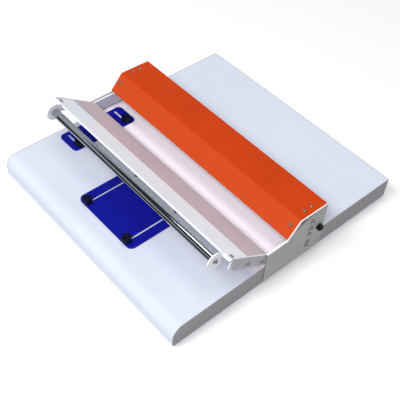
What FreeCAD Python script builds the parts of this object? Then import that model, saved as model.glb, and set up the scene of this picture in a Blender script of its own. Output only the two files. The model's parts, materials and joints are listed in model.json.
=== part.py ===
import FreeCAD, Part
import math
import os
import Sketcher
from FreeCAD import Placement, Rotation, Vector

# Desktop paper creasing machine: a thick board, a lever frame with a grip bar that pivots
# on two side plates, a creasing blade under a screwed-on cover, and two adjustable stops.
# Millimetres, +X right, +Y to the rear, +Z up. The origin is on the desk, under the
# middle of the board.

# Named sizes
sizes = {
    # board on its feet
    "board_width": 500.0,
    "board_depth": 540.0,
    "board_thick": 44.0,
    "nose_radius": 23.0,
    "under_nose_radius": 4.0,
    "band_thick": 1.0,
    "foot_high": 5.0,
    "foot_radius": 12.0,
    "foot_taper": 1.5,
    "foot_inset_x": 38.0,
    "foot_inset_y": 45.0,
    "foot_recess_radius": 5.0,
    "foot_floor": 1.8,
    # blade, matrix and the pivot that swings them
    "blade_y": 14.0,
    "blade_thick": 1.5,
    "blade_high": 23.0,
    "blade_half_long": 226.0,
    "blade_lift": 2.3,
    "blade_round": 0.6,
    "matrix_half_long": 227.0,
    "matrix_ahead": 4.5,
    "matrix_behind": 13.0,
    "matrix_thick": 4.0,
    "groove_width": 2.6,
    "groove_deep": 1.4,
    "matrix_screw_step": 7.5,
    "matrix_screw_outer_share": 0.95,
    "matrix_screw_inner_share": 0.32,
    "pivot_y": 64.0,
    "pivot_above": 16.0,
    "press_share": 0.0558,
    # side plates and the bolts through them
    "plate_thick": 2.5,
    "plate_front": 66.0,
    "plate_rear": 77.0,
    "plate_lower_gap": 5.0,
    "shoulder_above": 35.0,
    "tab_wide": 18.0,
    "tab_start_share": 0.25,
    "tab_end_share": 1.4,
    "rim_radius": 1.8,
    "peep_radius": 2.0,
    "peep_y": 72.0,
    "peep_above": 39.0,
    "bolt_y": 42.5,
    "bolt_low_y": 34.0,
    "rod_above": 44.0,
    "upper_bolt_above": 25.0,
    "lower_bolt_above": 10.5,
    "board_bolt_below": 10.0,
    "board_bolt_step": 10.0,
    # bearing blocks and the rod that ties the plates
    "block_gap": 5.0,
    "block_wide": 16.0,
    "block_front": 30.0,
    "block_rear": 76.0,
    "block_high": 35.0,
    "block_screw_y": 53.0,
    "pivot_depth_share": 0.85,
    "tube_radius": 3.5,
    "bush_radius": 6.0,
    "rod_radius": 6.0,
    # cover
    "cover_thick": 1.5,
    "cover_front_y": 18.0,
    "cover_front_above": 38.0,
    "cover_bend_y": 9.0,
    "cover_bend_above": 69.5,
    "cover_rear_y": 76.0,
    "cover_rear_above": 68.0,
    "cover_flange_high": 32.0,
    "cover_side_gap": 0.5,
    "cover_bend_radius": 3.2,
    "cover_screw_inset": 13.5,
    "cover_screw_up": 24.8,
    "cover_screw_first": 21.0,
    "cover_screw_second": 38.0,
    # lever arms
    "arm_thick": 3.0,
    "arm_side_gap": 1.0,
    "tip_top_y": 147.5,
    "tip_top_above": 88.7,
    "tip_low_y": 149.5,
    "tip_low_above": 60.0,
    "heel_y": 68.0,
    "heel_above": 8.0,
    "notch_y": 62.0,
    "arm_neck_above": 31.0,
    "arm_neck_y": 8.0,
    "arm_rear_above": 36.0,
    "arm_rear_rise_y": 12.0,
    "arm_tail_y": 50.0,
    "arm_tail_above": 2.4,
    "hub_margin": 11.0,
    "hub_round": 6.0,
    # sloping panel between the arms, and the grip strip on it
    "panel_thick": 2.0,
    "strip_thick": 2.0,
    "panel_rear_y": 61.0,
    "panel_rear_above": 29.5,
    "ridge_y": 110.5,
    "ridge_above": 62.2,
    "strip_front_y": 149.0,
    "strip_front_above": 85.5,
    "panel_tab_deep": 20.0,
    "panel_tab_thick": 2.0,
    "panel_tab_tip": 3.0,
    "panel_tab_heel": 1.5,
    "panel_tab_lean": 7.5,
    "panel_screw_front_y": 110.0,
    "panel_screw_front_above": 44.7,
    "panel_screw_rear_y": 75.5,
    "panel_screw_rear_above": 22.2,
    # press beam, clamp and springs
    "beam_thick": 13.2,
    "beam_bottom_above": 9.0,
    "beam_high": 22.0,
    "beam_screw_inset": 5.5,
    "clamp_thick": 8.0,
    "clamp_high": 16.0,
    "clamp_lift": 2.0,
    "clamp_screw_step": 105.0,
    "clamp_screw_share": 0.7,
    "clamp_hole_share": 0.8,
    "spring_x": 235.0,
    "spring_radius": 4.0,
    "wire_radius": 0.5,
    "spring_turns": 6.0,
    "pocket_radius": 5.6,
    "pocket_deep": 12.0,
    # grip bar between two end plates
    "bar_radius": 7.8,
    "bar_y": 166.3,
    "bar_above": 76.2,
    "leaf_x": 224.8,
    "leaf_thick": 2.5,
    "leaf_radius": 17.0,
    "leaf_top_y": 150.6,
    "leaf_top_above": 86.9,
    "leaf_waist_y": 153.6,
    "leaf_waist_above": 73.4,
    "leaf_low_y": 151.3,
    "leaf_low_above": 61.0,
    "leaf_foot_long": 15.0,
    "leaf_foot_deep": 8.0,
    "leaf_foot_thick": 2.5,
    "leaf_over_share": 0.26,
    "leaf_over_rise_share": 0.9656,
    "leaf_under_share": 0.34,
    "leaf_under_rise_share": 0.9404,
    "strip_screw_x": 239.0,
    "strip_screw_back": 7.5,
    # stop plate and side guide
    "stop_thick": 3.0,
    "stop_width": 156.0,
    "stop_front_y": 223.0,
    "stop_rear_y": 120.0,
    "stop_corner": 12.0,
    "stop_slot_x": 58.0,
    "stop_slot_front_y": 216.0,
    "stop_slot_rear_y": 130.0,
    "spare_insert_y": 104.0,
    "guide_thick": 3.0,
    "guide_left_x": 235.0,
    "guide_right_x": 181.0,
    "guide_front_y": 157.5,
    "guide_rear_y": 10.0,
    "guide_corner": 9.0,
    "guide_slot_front_y": 141.5,
    "guide_slot_rear_y": 28.0,
    "guide_slot_left_x": 227.0,
    "guide_slot_right_x": 190.0,
    "slot_radius": 2.3,
    # knobs and their inserts
    "knob_radius": 9.0,
    "knob_high": 12.0,
    "knob_collar_radius": 6.5,
    "knob_collar_high": 3.0,
    "knob_crown": 1.5,
    "flute_radius": 1.2,
    "flute_share": 0.97,
    "flute_count_share": 16,
    "stud_radius": 2.0,
    "stud_long": 14.0,
    "insert_radius": 3.5,
    "insert_long": 13.0,
    # screw sizes
    "small_shank": 2.0,
    "small_head": 3.8,
    "small_head_high": 2.2,
    "mid_shank": 2.5,
    "mid_head": 4.75,
    "mid_head_high": 2.75,
    "big_shank": 3.0,
    "big_head": 5.25,
    "big_head_high": 3.3,
    "socket_head_high": 5.0,
    "pivot_shank": 4.0,
    "pivot_head": 6.5,
    "pivot_head_high": 7.5,
    "hex_share": 0.32,
    "rim_share": 0.3,
    "crown_share": 0.45,
    "bevel_share": 0.08,
    "foot_head_share": 0.7,
    "hex_deep": 1.4,
    "sink_high": 2.2,
    "nut_small_high": 3.2,
    "nut_mid_high": 4.0,
    "nut_share": 1.9,
    "nut_overrun_share": 1.2,
    # clearances
    "thread_gap": 0.05,
    "fit_gap": 0.05,
    "stop_gap": 0.45,
    "slide_gap": 0.2,
    "spring_gap": 0.3,
    "screw_overrun": 1.5,
}

doc = FreeCAD.newDocument("PaperCreaser")
sheet = doc.addObject("Spreadsheet::Sheet", "Sizes")
for row, (alias, number) in enumerate(sizes.items(), start=1):
    sheet.set("A%d" % row, str(number))
    sheet.setAlias("A%d" % row, alias)
doc.recompute()


# A length is a number together with the text that binds it to the sheet
class Length:
    def __init__(self, value, text):
        self.value = value
        self.text = text

    def __add__(self, other):
        return joined(self, other, "+", lambda a, b: a + b)

    def __radd__(self, other):
        return joined(other, self, "+", lambda a, b: a + b)

    def __sub__(self, other):
        return joined(self, other, "-", lambda a, b: a - b)

    def __rsub__(self, other):
        return joined(other, self, "-", lambda a, b: a - b)

    def __mul__(self, other):
        return joined(self, other, "*", lambda a, b: a * b)

    def __rmul__(self, other):
        return joined(other, self, "*", lambda a, b: a * b)

    def __truediv__(self, other):
        return joined(self, other, "/", lambda a, b: a / b)

    def __neg__(self):
        return Length(-self.value, "(-1 * %s)" % self.text)


def as_length(item):
    return item if isinstance(item, Length) else Length(float(item), repr(item))


def joined(left, right, sign, work):
    a, b = as_length(left), as_length(right)
    return Length(work(a.value, b.value), "(%s %s %s)" % (a.text, sign, b.text))


def root(length):
    return Length(math.sqrt(length.value), "sqrt(%s)" % length.text)


def tilt(across, up):
    angle = math.degrees(math.atan2(up.value, across.value))
    return Length(angle, "atan2(%s; %s)" % (up.text, across.text))


def size(alias):
    return Length(sizes[alias], "Sizes." + alias)


def bind(item, path, length):
    item.setExpression(path, as_length(length).text)


zero = Length(0.0, "0")
half = 0.5

# Places that several pieces share
board_top = size("foot_high") + size("board_thick")
board_side = size("board_width") * half
board_back = size("board_depth") * half
plate_outer = board_side + size("plate_thick")
arm_outer = board_side - size("arm_side_gap")
arm_inner = arm_outer - size("arm_thick")
block_outer = board_side - size("block_gap")
block_inner = block_outer - size("block_wide")
pivot_z = board_top + size("pivot_above")
pivot = (size("pivot_y"), pivot_z)
rod_z = board_top + size("rod_above")
blade_tip = board_top + size("blade_lift")
blade_back = size("blade_y") + size("blade_thick") * half
blade_front = size("blade_y") - size("blade_thick") * half
beam_bottom = board_top + size("beam_bottom_above")
beam_top = beam_bottom + size("beam_high")
beam_back = blade_back + size("beam_thick")
beam_mid = blade_back + size("beam_thick") * half
clamp_bottom = beam_bottom + size("clamp_lift")
clamp_front = blade_front - size("clamp_thick")
clamp_mid = clamp_bottom + size("clamp_high") * half
bar_axis = (-size("bar_y"), board_top + size("bar_above"))
leaf_outer = size("leaf_x") + size("leaf_thick")


def above(alias):
    return board_top + size(alias)


# Lines in the side view, as (y, z) corners
def step(here, there):
    return (there[0] - here[0], there[1] - here[1])


def span(here, there):
    run, rise = step(here, there)
    return root(run * run + rise * rise)


def along(here, there, distance, below=zero):
    run, rise = step(here, there)
    far = span(here, there)
    return (here[0] + (run * distance + rise * below) / far,
            here[1] + (rise * distance - run * below) / far)


def lowered(corners, depth):
    # the same line moved square to itself by depth, to the right of its direction
    normals = []
    for here, there in zip(corners, corners[1:]):
        run, rise = step(here, there)
        far = span(here, there)
        normals.append((rise / far, -run / far))
    moved = []
    for place, corner in enumerate(corners):
        first = normals[max(place - 1, 0)]
        last = normals[min(place, len(normals) - 1)]
        shared = 1 + first[0] * last[0] + first[1] * last[1]
        moved.append((corner[0] + (first[0] + last[0]) * depth / shared,
                      corner[1] + (first[1] + last[1]) * depth / shared))
    return moved


# Sketches and features
nodes = []


def new_body(name):
    body = doc.addObject("PartDesign::Body", name)
    body.Label = name
    return body


def keep(item, name):
    item.Label = name
    nodes.append(item)
    return item


def origin_plane(body, role):
    return next(item for item in body.Origin.OriginFeatures if item.Role == role)


def new_sketch(body, name, role, lift=zero):
    sketch = body.newObject("Sketcher::SketchObject", name)
    sketch.AttachmentSupport = (origin_plane(body, role), [""])
    sketch.MapMode = "FlatFace"
    bind(sketch, "AttachmentOffset.Base.z", lift)
    return sketch


def tilted_sketch(body, name, corner, slope):
    # a level sketch turned about X by slope, with its origin at the (y, z) corner
    sketch = new_sketch(body, name, "XY_Plane", corner[1])
    sketch.AttachmentOffset = Placement(Vector(), Rotation(Vector(1, 0, 0), slope.value))
    bind(sketch, "AttachmentOffset.Base.y", corner[0])
    bind(sketch, "AttachmentOffset.Base.z", corner[1])
    bind(sketch, "AttachmentOffset.Rotation.Angle", slope)
    return sketch


def pin_point(sketch, shape, vertex, corner):
    for kind, length in (("DistanceX", corner[0]), ("DistanceY", corner[1])):
        number = sketch.addConstraint(Sketcher.Constraint(kind, shape, vertex, length.value))
        bind(sketch, "Constraints[%d]" % number, length)


def outline(sketch, corners):
    # each corner is (x, y), or (x, y, radius, large) where an anticlockwise arc leads to it
    first = sketch.GeometryCount
    ends = []
    for place, corner in enumerate(corners):
        before = corners[place - 1]
        here = Vector(before[0].value, before[1].value, 0)
        there = Vector(corner[0].value, corner[1].value, 0)
        if len(corner) == 2:
            sketch.addGeometry(Part.LineSegment(here, there), False)
        else:
            radius, large = corner[2], corner[3]
            chord = there - here
            side = Vector(-chord.y, chord.x, 0).normalize()
            reach = math.sqrt(max(radius.value ** 2 - (chord.Length / 2) ** 2, 0))
            centre = (here + there) * 0.5 + side * (-reach if large else reach)
            start = math.atan2(here.y - centre.y, here.x - centre.x)
            stop = math.atan2(there.y - centre.y, there.x - centre.x)
            ring = Part.Circle(centre, Vector(0, 0, 1), radius.value)
            sketch.addGeometry(Part.ArcOfCircle(ring, start, stop), False)
        ends.append(first + place)
    for place, shape in enumerate(ends):
        following = ends[(place + 1) % len(ends)]
        sketch.addConstraint(Sketcher.Constraint("Coincident", shape, 2, following, 1))
    for place, corner in enumerate(corners):
        pin_point(sketch, ends[place], 2, corner)
        if len(corner) > 2:
            number = sketch.addConstraint(
                Sketcher.Constraint("Radius", ends[place], corner[2].value))
            bind(sketch, "Constraints[%d]" % number, corner[2])


def rectangle(sketch, low, high):
    outline(sketch, [(low[0], low[1]), (high[0], low[1]), (high[0], high[1]),
                     (low[0], high[1])])


def rings(sketch, centres, radius):
    for centre in centres:
        middle = Vector(centre[0].value, centre[1].value, 0)
        shape = sketch.addGeometry(Part.Circle(middle, Vector(0, 0, 1), radius.value), False)
        number = sketch.addConstraint(Sketcher.Constraint("Radius", shape, radius.value))
        bind(sketch, "Constraints[%d]" % number, radius)
        pin_point(sketch, shape, 3, centre)


def slot(sketch, start, stop, radius):
    # a long hole from one centre to the other
    here = Vector(start[0].value, start[1].value, 0)
    there = Vector(stop[0].value, stop[1].value, 0)
    turn = math.atan2(there.y - here.y, there.x - here.x)
    quarter = math.pi / 2
    up = Vector(0, 0, 1)
    side = Vector(-math.sin(turn), math.cos(turn), 0) * radius.value
    back = sketch.addGeometry(Part.ArcOfCircle(
        Part.Circle(here, up, radius.value), turn + quarter, turn + 3 * quarter), False)
    lower = sketch.addGeometry(Part.LineSegment(here - side, there - side), False)
    front = sketch.addGeometry(Part.ArcOfCircle(
        Part.Circle(there, up, radius.value), turn - quarter, turn + quarter), False)
    upper = sketch.addGeometry(Part.LineSegment(there + side, here + side), False)
    for first, second in ((back, lower), (lower, front), (front, upper), (upper, back)):
        sketch.addConstraint(Sketcher.Constraint("Tangent", first, 2, second, 1))
    sketch.addConstraint(Sketcher.Constraint("Equal", back, front))
    number = sketch.addConstraint(Sketcher.Constraint("Radius", back, radius.value))
    bind(sketch, "Constraints[%d]" % number, radius)
    pin_point(sketch, back, 3, start)
    pin_point(sketch, front, 3, stop)


def pad(body, sketch, length, middle=False):
    feature = body.newObject("PartDesign::Pad", sketch.Name + "Pad")
    feature.Profile = sketch
    bind(feature, "Length", length)
    feature.Midplane = middle
    doc.recompute()
    return feature


def cut(body, sketch, depth=None, flip=False):
    # depth None cuts right through both ways
    before = body.Shape.Volume
    feature = body.newObject("PartDesign::Pocket", sketch.Name + "Cut")
    feature.Profile = sketch
    if depth is None:
        feature.Type = 1
        feature.Midplane = True
    else:
        bind(feature, "Length", depth)
        feature.Reversed = flip
    doc.recompute()
    if not body.Shape.Volume < before:
        raise RuntimeError(sketch.Name + " cuts nothing")
    return feature


def round_edges(body, radius, wanted, arcs=False):
    # wanted says, from an edge's middle point and direction, if that edge is rounded
    base = body.Tip
    names = []
    for place, edge in enumerate(base.Shape.Edges, start=1):
        if len(edge.Vertexes) == 2 and (arcs or isinstance(edge.Curve, Part.Line)):
            middle = (edge.FirstParameter + edge.LastParameter) / 2
            if wanted(edge.valueAt(middle), edge.tangentAt(middle)):
                names.append("Edge%d" % place)
    feature = body.newObject("PartDesign::Fillet", body.Name + "Round%d" % len(names))
    feature.Base = (base, names)
    bind(feature, "Radius", radius)
    doc.recompute()
    return feature


def near(value, length):
    return abs(value - length.value) < size("fit_gap").value


def points_along_x(direction):
    return abs(direction.x) > 0.99


def points_along_z(direction):
    return abs(direction.z) > 0.99


def on_line(corner):
    # the edges along X through one (y, z) corner of the side view
    return lambda place, way: (points_along_x(way) and near(place.y, corner[0])
                               and near(place.z, corner[1]))


def block(name, low, high):
    # a plain block between two corners
    body = new_body(name)
    sketch = new_sketch(body, name + "Plan", "XY_Plane", low[2])
    rectangle(sketch, low[:2], high[:2])
    pad(body, sketch, high[2] - low[2])
    return body


def side_profile(name, corners, left, thick):
    # a side-view outline, thick along X from the plane at left
    body = new_body(name)
    sketch = new_sketch(body, name + "Side", "YZ_Plane", left)
    outline(sketch, corners)
    pad(body, sketch, thick)
    return body


def side_holes(body, name, left, centres, radius, depth=None, flip=False):
    sketch = new_sketch(body, name, "YZ_Plane", left)
    rings(sketch, centres, radius)
    return cut(body, sketch, depth, flip)


def top_holes(body, name, lift, centres, radius, depth=None, flip=False):
    sketch = new_sketch(body, name, "XY_Plane", lift)
    rings(sketch, centres, radius)
    return cut(body, sketch, depth, flip)


def turned(name, corners):
    # a shape turned about Z from (radius, z) corners
    body = new_body(name)
    sketch = new_sketch(body, name + "Half", "XZ_Plane")
    outline(sketch, corners)
    feature = body.newObject("PartDesign::Revolution", name + "Turn")
    feature.Profile = sketch
    feature.ReferenceAxis = (sketch, ["V_Axis"])
    feature.Angle = 360
    doc.recompute()
    return body


def hexagon(sketch, reach):
    corners = []
    for turn in range(6):
        angle = math.radians(60 * turn)
        corners.append((reach * round(math.cos(angle), 6), reach * round(math.sin(angle), 6)))
    outline(sketch, corners)


def copies(name, master, places):
    # one node of separate solids: each place is (x, y, z, axis, turn)
    links = []
    for place, (x, y, z, axis, turn) in enumerate(places):
        link = doc.addObject("App::Link", "%s_%d" % (name, place + 1))
        link.LinkedObject = master
        angle = turn.value if isinstance(turn, Length) else turn
        link.Placement = Placement(Vector(), Rotation(axis, angle))
        for path, length in (("x", x), ("y", y), ("z", z)):
            bind(link, "Placement.Base." + path, length)
        if isinstance(turn, Length):
            bind(link, "Placement.Rotation.Angle", turn)
        links.append(link)
    group = doc.addObject("Part::Compound", name)
    group.Links = links
    return keep(group, name)


# Screws stand on the origin: the head above it, the shank below
along_x = Vector(1, 0, 0)
along_y = Vector(0, 1, 0)
upright = (Vector(0, 0, 1), 0)
facing_right = (along_y, 90)
facing_left = (along_y, -90)
facing_front = (along_x, 90)


def round_screw(name, shank, head, head_high, long):
    rim = head_high * size("rim_share")
    crown = head * size("crown_share")
    body = turned(name, [(zero, -long), (shank, -long), (shank, zero), (head, zero),
                         (head, rim), (crown, head_high, head, False), (zero, head_high)])
    sketch = new_sketch(body, name + "Key", "XY_Plane", head_high)
    hexagon(sketch, head * size("hex_share"))
    cut(body, sketch, size("hex_deep"))
    return body


def cap_screw(name, shank, head, head_high, long):
    bevel = head_high * size("bevel_share")
    body = turned(name, [(zero, -long), (shank, -long), (shank, zero), (head, zero),
                         (head, head_high - bevel), (head - bevel, head_high),
                         (zero, head_high)])
    sketch = new_sketch(body, name + "Key", "XY_Plane", head_high)
    hexagon(sketch, shank)
    cut(body, sketch, head_high * half)
    return body


def sunk_screw(name, shank, head, long):
    # its top is level with the origin
    deep = size("sink_high")
    body = turned(name, [(zero, -long), (shank, -long), (shank, -deep), (head, zero),
                         (zero, zero)])
    sketch = new_sketch(body, name + "Key", "XY_Plane")
    hexagon(sketch, head * size("hex_share"))
    cut(body, sketch, size("hex_deep"))
    return body


def hex_nut(name, bore, high):
    # a nut below the origin, so that it turns up against a face
    body = new_body(name)
    sketch = new_sketch(body, name + "Plan", "XY_Plane", -high)
    hexagon(sketch, bore * size("nut_share"))
    rings(sketch, [(zero, zero)], bore + size("thread_gap"))
    pad(body, sketch, high)
    return body


def tube(name, outer, inner, long):
    body = new_body(name)
    sketch = new_sketch(body, name + "Ring", "XY_Plane", -long)
    rings(sketch, [(zero, zero)], outer)
    rings(sketch, [(zero, zero)], inner)
    pad(body, sketch, long)
    return body


def both_sides(places):
    # the same (x, y, z) places on the right and mirrored on the left, facing outwards
    right = [(x, y, z) + facing_right for x, y, z in places]
    left = [(-x, y, z) + facing_left for x, y, z in places]
    return right + left


# Board, edge bands and feet
core_side = board_side - size("band_thick")
core_back = board_back - size("band_thick")
foot_spots = [(x * (board_side - size("foot_inset_x")), y * (board_back - size("foot_inset_y")))
              for x in (-1, 1) for y in (-1, 1)]
foot_screw_long = size("board_thick") * half
knob_spots = {
    "stop_knob_left": (-size("stop_slot_x"), -size("stop_slot_front_y")),
    "stop_knob_right": (size("stop_slot_x"), -size("stop_slot_front_y")),
    "guide_knob_front": (-size("guide_slot_right_x"), -size("guide_slot_front_y")),
    "guide_knob_rear": (-size("guide_slot_right_x"), -size("guide_slot_rear_y")),
}
insert_spots = list(knob_spots.values()) + [
    (x * size("stop_slot_x"), -size("spare_insert_y")) for x in (-1, 1)]
bolt_long = size("block_wide")
board_bolt_spots = []
for count in (0, 1):
    drop = size("board_bolt_below") + size("board_bolt_step") * count
    lean = (size("bolt_y") - size("bolt_low_y")) * drop / (size("rod_above") + drop)
    board_bolt_spots.append((size("bolt_y") - lean, board_top - drop))
block_screw = (block_inner + size("block_wide") * half, size("block_screw_y"))
block_screw_long = size("block_high") - size("socket_head_high") + size("insert_long")
matrix_front = size("blade_y") - size("matrix_ahead")
matrix_back = size("blade_y") + size("matrix_behind")
matrix_screw_y = size("blade_y") + size("matrix_screw_step")
matrix_screw_spots = [(size("matrix_half_long") * size(share) * side, matrix_screw_y)
                      for side in (-1, 1)
                      for share in ("matrix_screw_outer_share", "matrix_screw_inner_share")]


def board_profile(name, left, wide, back):
    corners = [(-board_back, size("foot_high")), (back, size("foot_high")),
               (back, board_top), (-board_back, board_top)]
    body = side_profile(name, corners, left, wide)
    nose = round_edges(body, size("nose_radius"), lambda place, way: points_along_x(way)
                       and near(place.y, -board_back) and near(place.z, board_top))
    nose.Label = name + "_nose"
    round_edges(body, size("under_nose_radius"), lambda place, way: points_along_x(way)
                and near(place.y, -board_back) and near(place.z, size("foot_high")))
    return body


board = board_profile("base_board", -core_side, core_side * 2, core_back)
thread = size("thread_gap")
top_holes(board, "insert_seats", board_top, insert_spots, size("insert_radius") + thread,
          size("insert_long"))
top_holes(board, "block_screw_seats", board_top,
          [(x * block_screw[0], block_screw[1]) for x in (-1, 1)],
          size("big_shank") + thread, size("insert_long") + size("screw_overrun"))
inlay = new_sketch(board, "matrix_seat", "XY_Plane", board_top)
rectangle(inlay, (-size("matrix_half_long") - size("slide_gap"), matrix_front),
          (size("matrix_half_long") + size("slide_gap"), matrix_back))
cut(board, inlay, size("matrix_thick"))
top_holes(board, "matrix_screw_seats", board_top, matrix_screw_spots,
          size("small_shank") + thread, bolt_long)
top_holes(board, "foot_screw_seats", size("foot_high"), foot_spots,
          size("small_shank") + thread, foot_screw_long, True)
side_bolt_deep = bolt_long - size("plate_thick") + size("screw_overrun")
side_holes(board, "bolt_seats_right", board_side, board_bolt_spots,
           size("mid_shank") + thread, side_bolt_deep)
side_holes(board, "bolt_seats_left", -board_side, board_bolt_spots,
           size("mid_shank") + thread, side_bolt_deep, True)
keep(board, "base_board")

for name, left in (("edge_band_left", -board_side), ("edge_band_right", core_side)):
    band = board_profile(name, left, size("band_thick"), board_back)
    side_holes(band, name + "_holes", left, board_bolt_spots, size("mid_shank") + thread)
    keep(band, name)
keep(block("edge_band_rear", (-core_side, core_back, size("foot_high")),
           (core_side, board_back, board_top)), "edge_band_rear")

foot = turned("foot", [
    (size("small_shank") + thread, size("foot_floor")),
    (size("foot_recess_radius"), size("foot_floor")), (size("foot_recess_radius"), zero),
    (size("foot_radius") - size("foot_taper"), zero), (size("foot_radius"), size("foot_high")),
    (size("small_shank") + thread, size("foot_high"))])
upside_down = (along_x, 180)
foot_screw = round_screw("foot_screw", size("small_shank"), size("small_head"),
                         size("small_head_high") * size("foot_head_share"), foot_screw_long)
copies("rubber_feet", foot, [(x, y, zero) + upright for x, y in foot_spots])
copies("foot_screws", foot_screw,
       [(x, y, size("foot_floor")) + upside_down for x, y in foot_spots])
insert = tube("insert", size("insert_radius"), size("stud_radius") + thread,
              size("insert_long"))
copies("threaded_inserts", insert, [(x, y, board_top) + upright for x, y in insert_spots])

# Crease matrix, let into the board, with its channel where the blade lands
matrix = block("crease_matrix",
               (-size("matrix_half_long"), matrix_front, board_top - size("matrix_thick")),
               (size("matrix_half_long"), matrix_back, board_top))
channel_y = size("blade_y") + (pivot_z - blade_tip) * size("press_share")
channel = new_sketch(matrix, "channel", "XY_Plane", board_top)
rectangle(channel, (-board_side, channel_y - size("groove_width") * half),
          (board_side, channel_y + size("groove_width") * half))
cut(matrix, channel, size("groove_deep"))
top_holes(matrix, "matrix_bores", board_top, matrix_screw_spots, size("small_shank") + thread)


def sink_seat(body, name, centre, shank, head, rotation, lift):
    # a cone cut for a countersunk head at a (first, second) place on the sketch plane
    sketch = new_sketch(body, name, rotation, lift)
    rings(sketch, [centre], head)
    feature = cut(body, sketch, size("sink_high"), lift.value < 0)
    feature.TaperAngle = -math.degrees(math.atan2(head.value - shank.value,
                                                  sizes["sink_high"]))
    taper = tilt(size("sink_high"), head - shank)
    bind(feature, "TaperAngle", -taper)
    doc.recompute()
    return feature


for count, spot in enumerate(matrix_screw_spots):
    sink_seat(matrix, "matrix_sink_%d" % count, spot, size("small_shank") + thread,
              size("small_head") + thread, "XY_Plane", board_top)
keep(matrix, "crease_matrix")
matrix_screw = sunk_screw("matrix_screw", size("small_shank"), size("small_head"), bolt_long)
copies("matrix_screws", matrix_screw,
       [(x, y, board_top) + upright for x, y in matrix_screw_spots])

# Side plates with bent-in tabs that carry the cover
cover_line = [(-size("cover_front_y"), above("cover_front_above")),
              (size("cover_bend_y"), above("cover_bend_above")),
              (size("cover_rear_y"), above("cover_rear_above"))]
under_cover = lowered(cover_line, size("cover_thick"))
under_tab = lowered(cover_line, size("cover_thick") + size("plate_thick"))
shoulder_z = above("shoulder_above")
facet_run, facet_rise = step(*under_cover[:2])
shoulder_y = under_cover[0][0] + (shoulder_z - under_cover[0][1]) * facet_run / facet_rise
roof_run, roof_rise = step(*under_cover[1:])
plate_rear_z = under_cover[2][1] + (
    size("plate_rear") - under_cover[2][0]) * roof_rise / roof_run
plate_bottom = size("foot_high") + size("plate_lower_gap")
plate_corners = [(-size("plate_front"), plate_bottom), (size("plate_rear"), plate_bottom),
                 (size("plate_rear"), plate_rear_z), under_cover[1],
                 (shoulder_y, shoulder_z), (-size("plate_front"), shoulder_z)]
tab_start = along(cover_line[0], cover_line[1], size("cover_screw_up") * size("tab_start_share"),
                  size("cover_thick"))
tab_start_low = along(cover_line[0], cover_line[1], size("cover_screw_up") * size("tab_start_share"),
                      size("cover_thick") + size("plate_thick"))
tab_end = along(cover_line[1], cover_line[2], size("cover_screw_second") * size("tab_end_share"),
                size("cover_thick"))
tab_end_low = along(cover_line[1], cover_line[2], size("cover_screw_second") * size("tab_end_share"),
                    size("cover_thick") + size("plate_thick"))
tab_corners = [tab_start, tab_start_low, under_tab[1], tab_end_low, tab_end, under_cover[1]]
inner_bend_radius = size("cover_bend_radius") - size("cover_thick")
upper_bolt = (size("bolt_y"), above("upper_bolt_above"))
lower_bolt = (size("bolt_y") - size("screw_overrun"), above("lower_bolt_above"))
rod_bolt = (size("bolt_y"), rod_z)
side_bolt_spots = [rod_bolt, upper_bolt, lower_bolt] + board_bolt_spots
facet_slope = tilt(*step(cover_line[0], cover_line[1]))
roof_slope = tilt(*step(cover_line[1], cover_line[2]))
cover_screw_x = plate_outer - size("cover_screw_inset")
cover_screw_spots = [(0, size("cover_screw_up"), facet_slope),
                     (1, size("cover_screw_first"), roof_slope),
                     (1, size("cover_screw_second"), roof_slope)]


def cover_bores(body, name, sides, radius):
    for first, distance, slope in cover_screw_spots:
        sketch = tilted_sketch(body, "%s_%s_%s" % (name, first, round(distance.value)),
                               cover_line[first], slope)
        rings(sketch, [(side * cover_screw_x, distance) for side in sides], radius)
        cut(body, sketch, size("cover_thick") + size("plate_thick") * 2)


for name, side, left in (("side_plate_left", -1, -plate_outer),
                         ("side_plate_right", 1, board_side)):
    plate = side_profile(name, plate_corners, left, size("plate_thick"))
    tab = new_sketch(plate, name + "_tab", "YZ_Plane",
                     left if side < 0 else plate_outer - size("tab_wide"))
    outline(tab, tab_corners)
    pad(plate, tab, size("tab_wide"))
    round_edges(plate, inner_bend_radius, on_line(under_cover[1]))
    round_edges(plate, size("rim_radius"), lambda place, way: near(abs(place.x), plate_outer)
                and abs(way.x) < size("fit_gap").value and place.z > shoulder_z.value
                and abs(way.y) > size("fit_gap").value, True)
    side_holes(plate, name + "_bolts", left, side_bolt_spots, size("mid_shank") + thread)
    side_holes(plate, name + "_pivot", left, [pivot], size("pivot_shank") + thread)
    side_holes(plate, name + "_peep", left, [(size("peep_y"), above("peep_above"))],
               size("peep_radius"))
    cover_bores(plate, name + "_tab_holes", [side], size("small_shank") + thread)
    keep(plate, name)
side_bolt = round_screw("side_bolt", size("mid_shank"), size("mid_head"),
                        size("mid_head_high"), bolt_long)
copies("side_bolts", side_bolt,
       both_sides([(plate_outer, y, z) for y, z in side_bolt_spots]))

# Bearing blocks stand on the board inside the arms and hold the inner end of each pivot
tube_spots = [upper_bolt, lower_bolt]
pivot_bolt_long = size("plate_thick") + size("block_gap") + size("block_wide") * size(
    "pivot_depth_share")
for name, side in (("bearing_block_left", -1), ("bearing_block_right", 1)):
    low_x, high_x = (-block_outer, -block_inner) if side < 0 else (block_inner, block_outer)
    bearing = block(name, (low_x, size("block_front"), board_top),
                    (high_x, size("block_rear"), board_top + size("block_high")))
    face = block_outer * side
    side_holes(bearing, name + "_bolts", face, tube_spots, size("mid_shank") + thread,
               bolt_long - size("plate_thick") - size("block_gap") + size("screw_overrun"),
               side < 0)
    side_holes(bearing, name + "_pivot", face, [pivot], size("pivot_shank") + thread,
               pivot_bolt_long - size("plate_thick") - size("block_gap")
               + size("screw_overrun"), side < 0)
    spot = [(side * block_screw[0], block_screw[1])]
    top_holes(bearing, name + "_screw", board_top, spot, size("big_shank") + thread)
    top_holes(bearing, name + "_head", board_top + size("block_high"), spot,
              size("big_head") + thread, size("socket_head_high"))
    keep(bearing, name)
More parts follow.
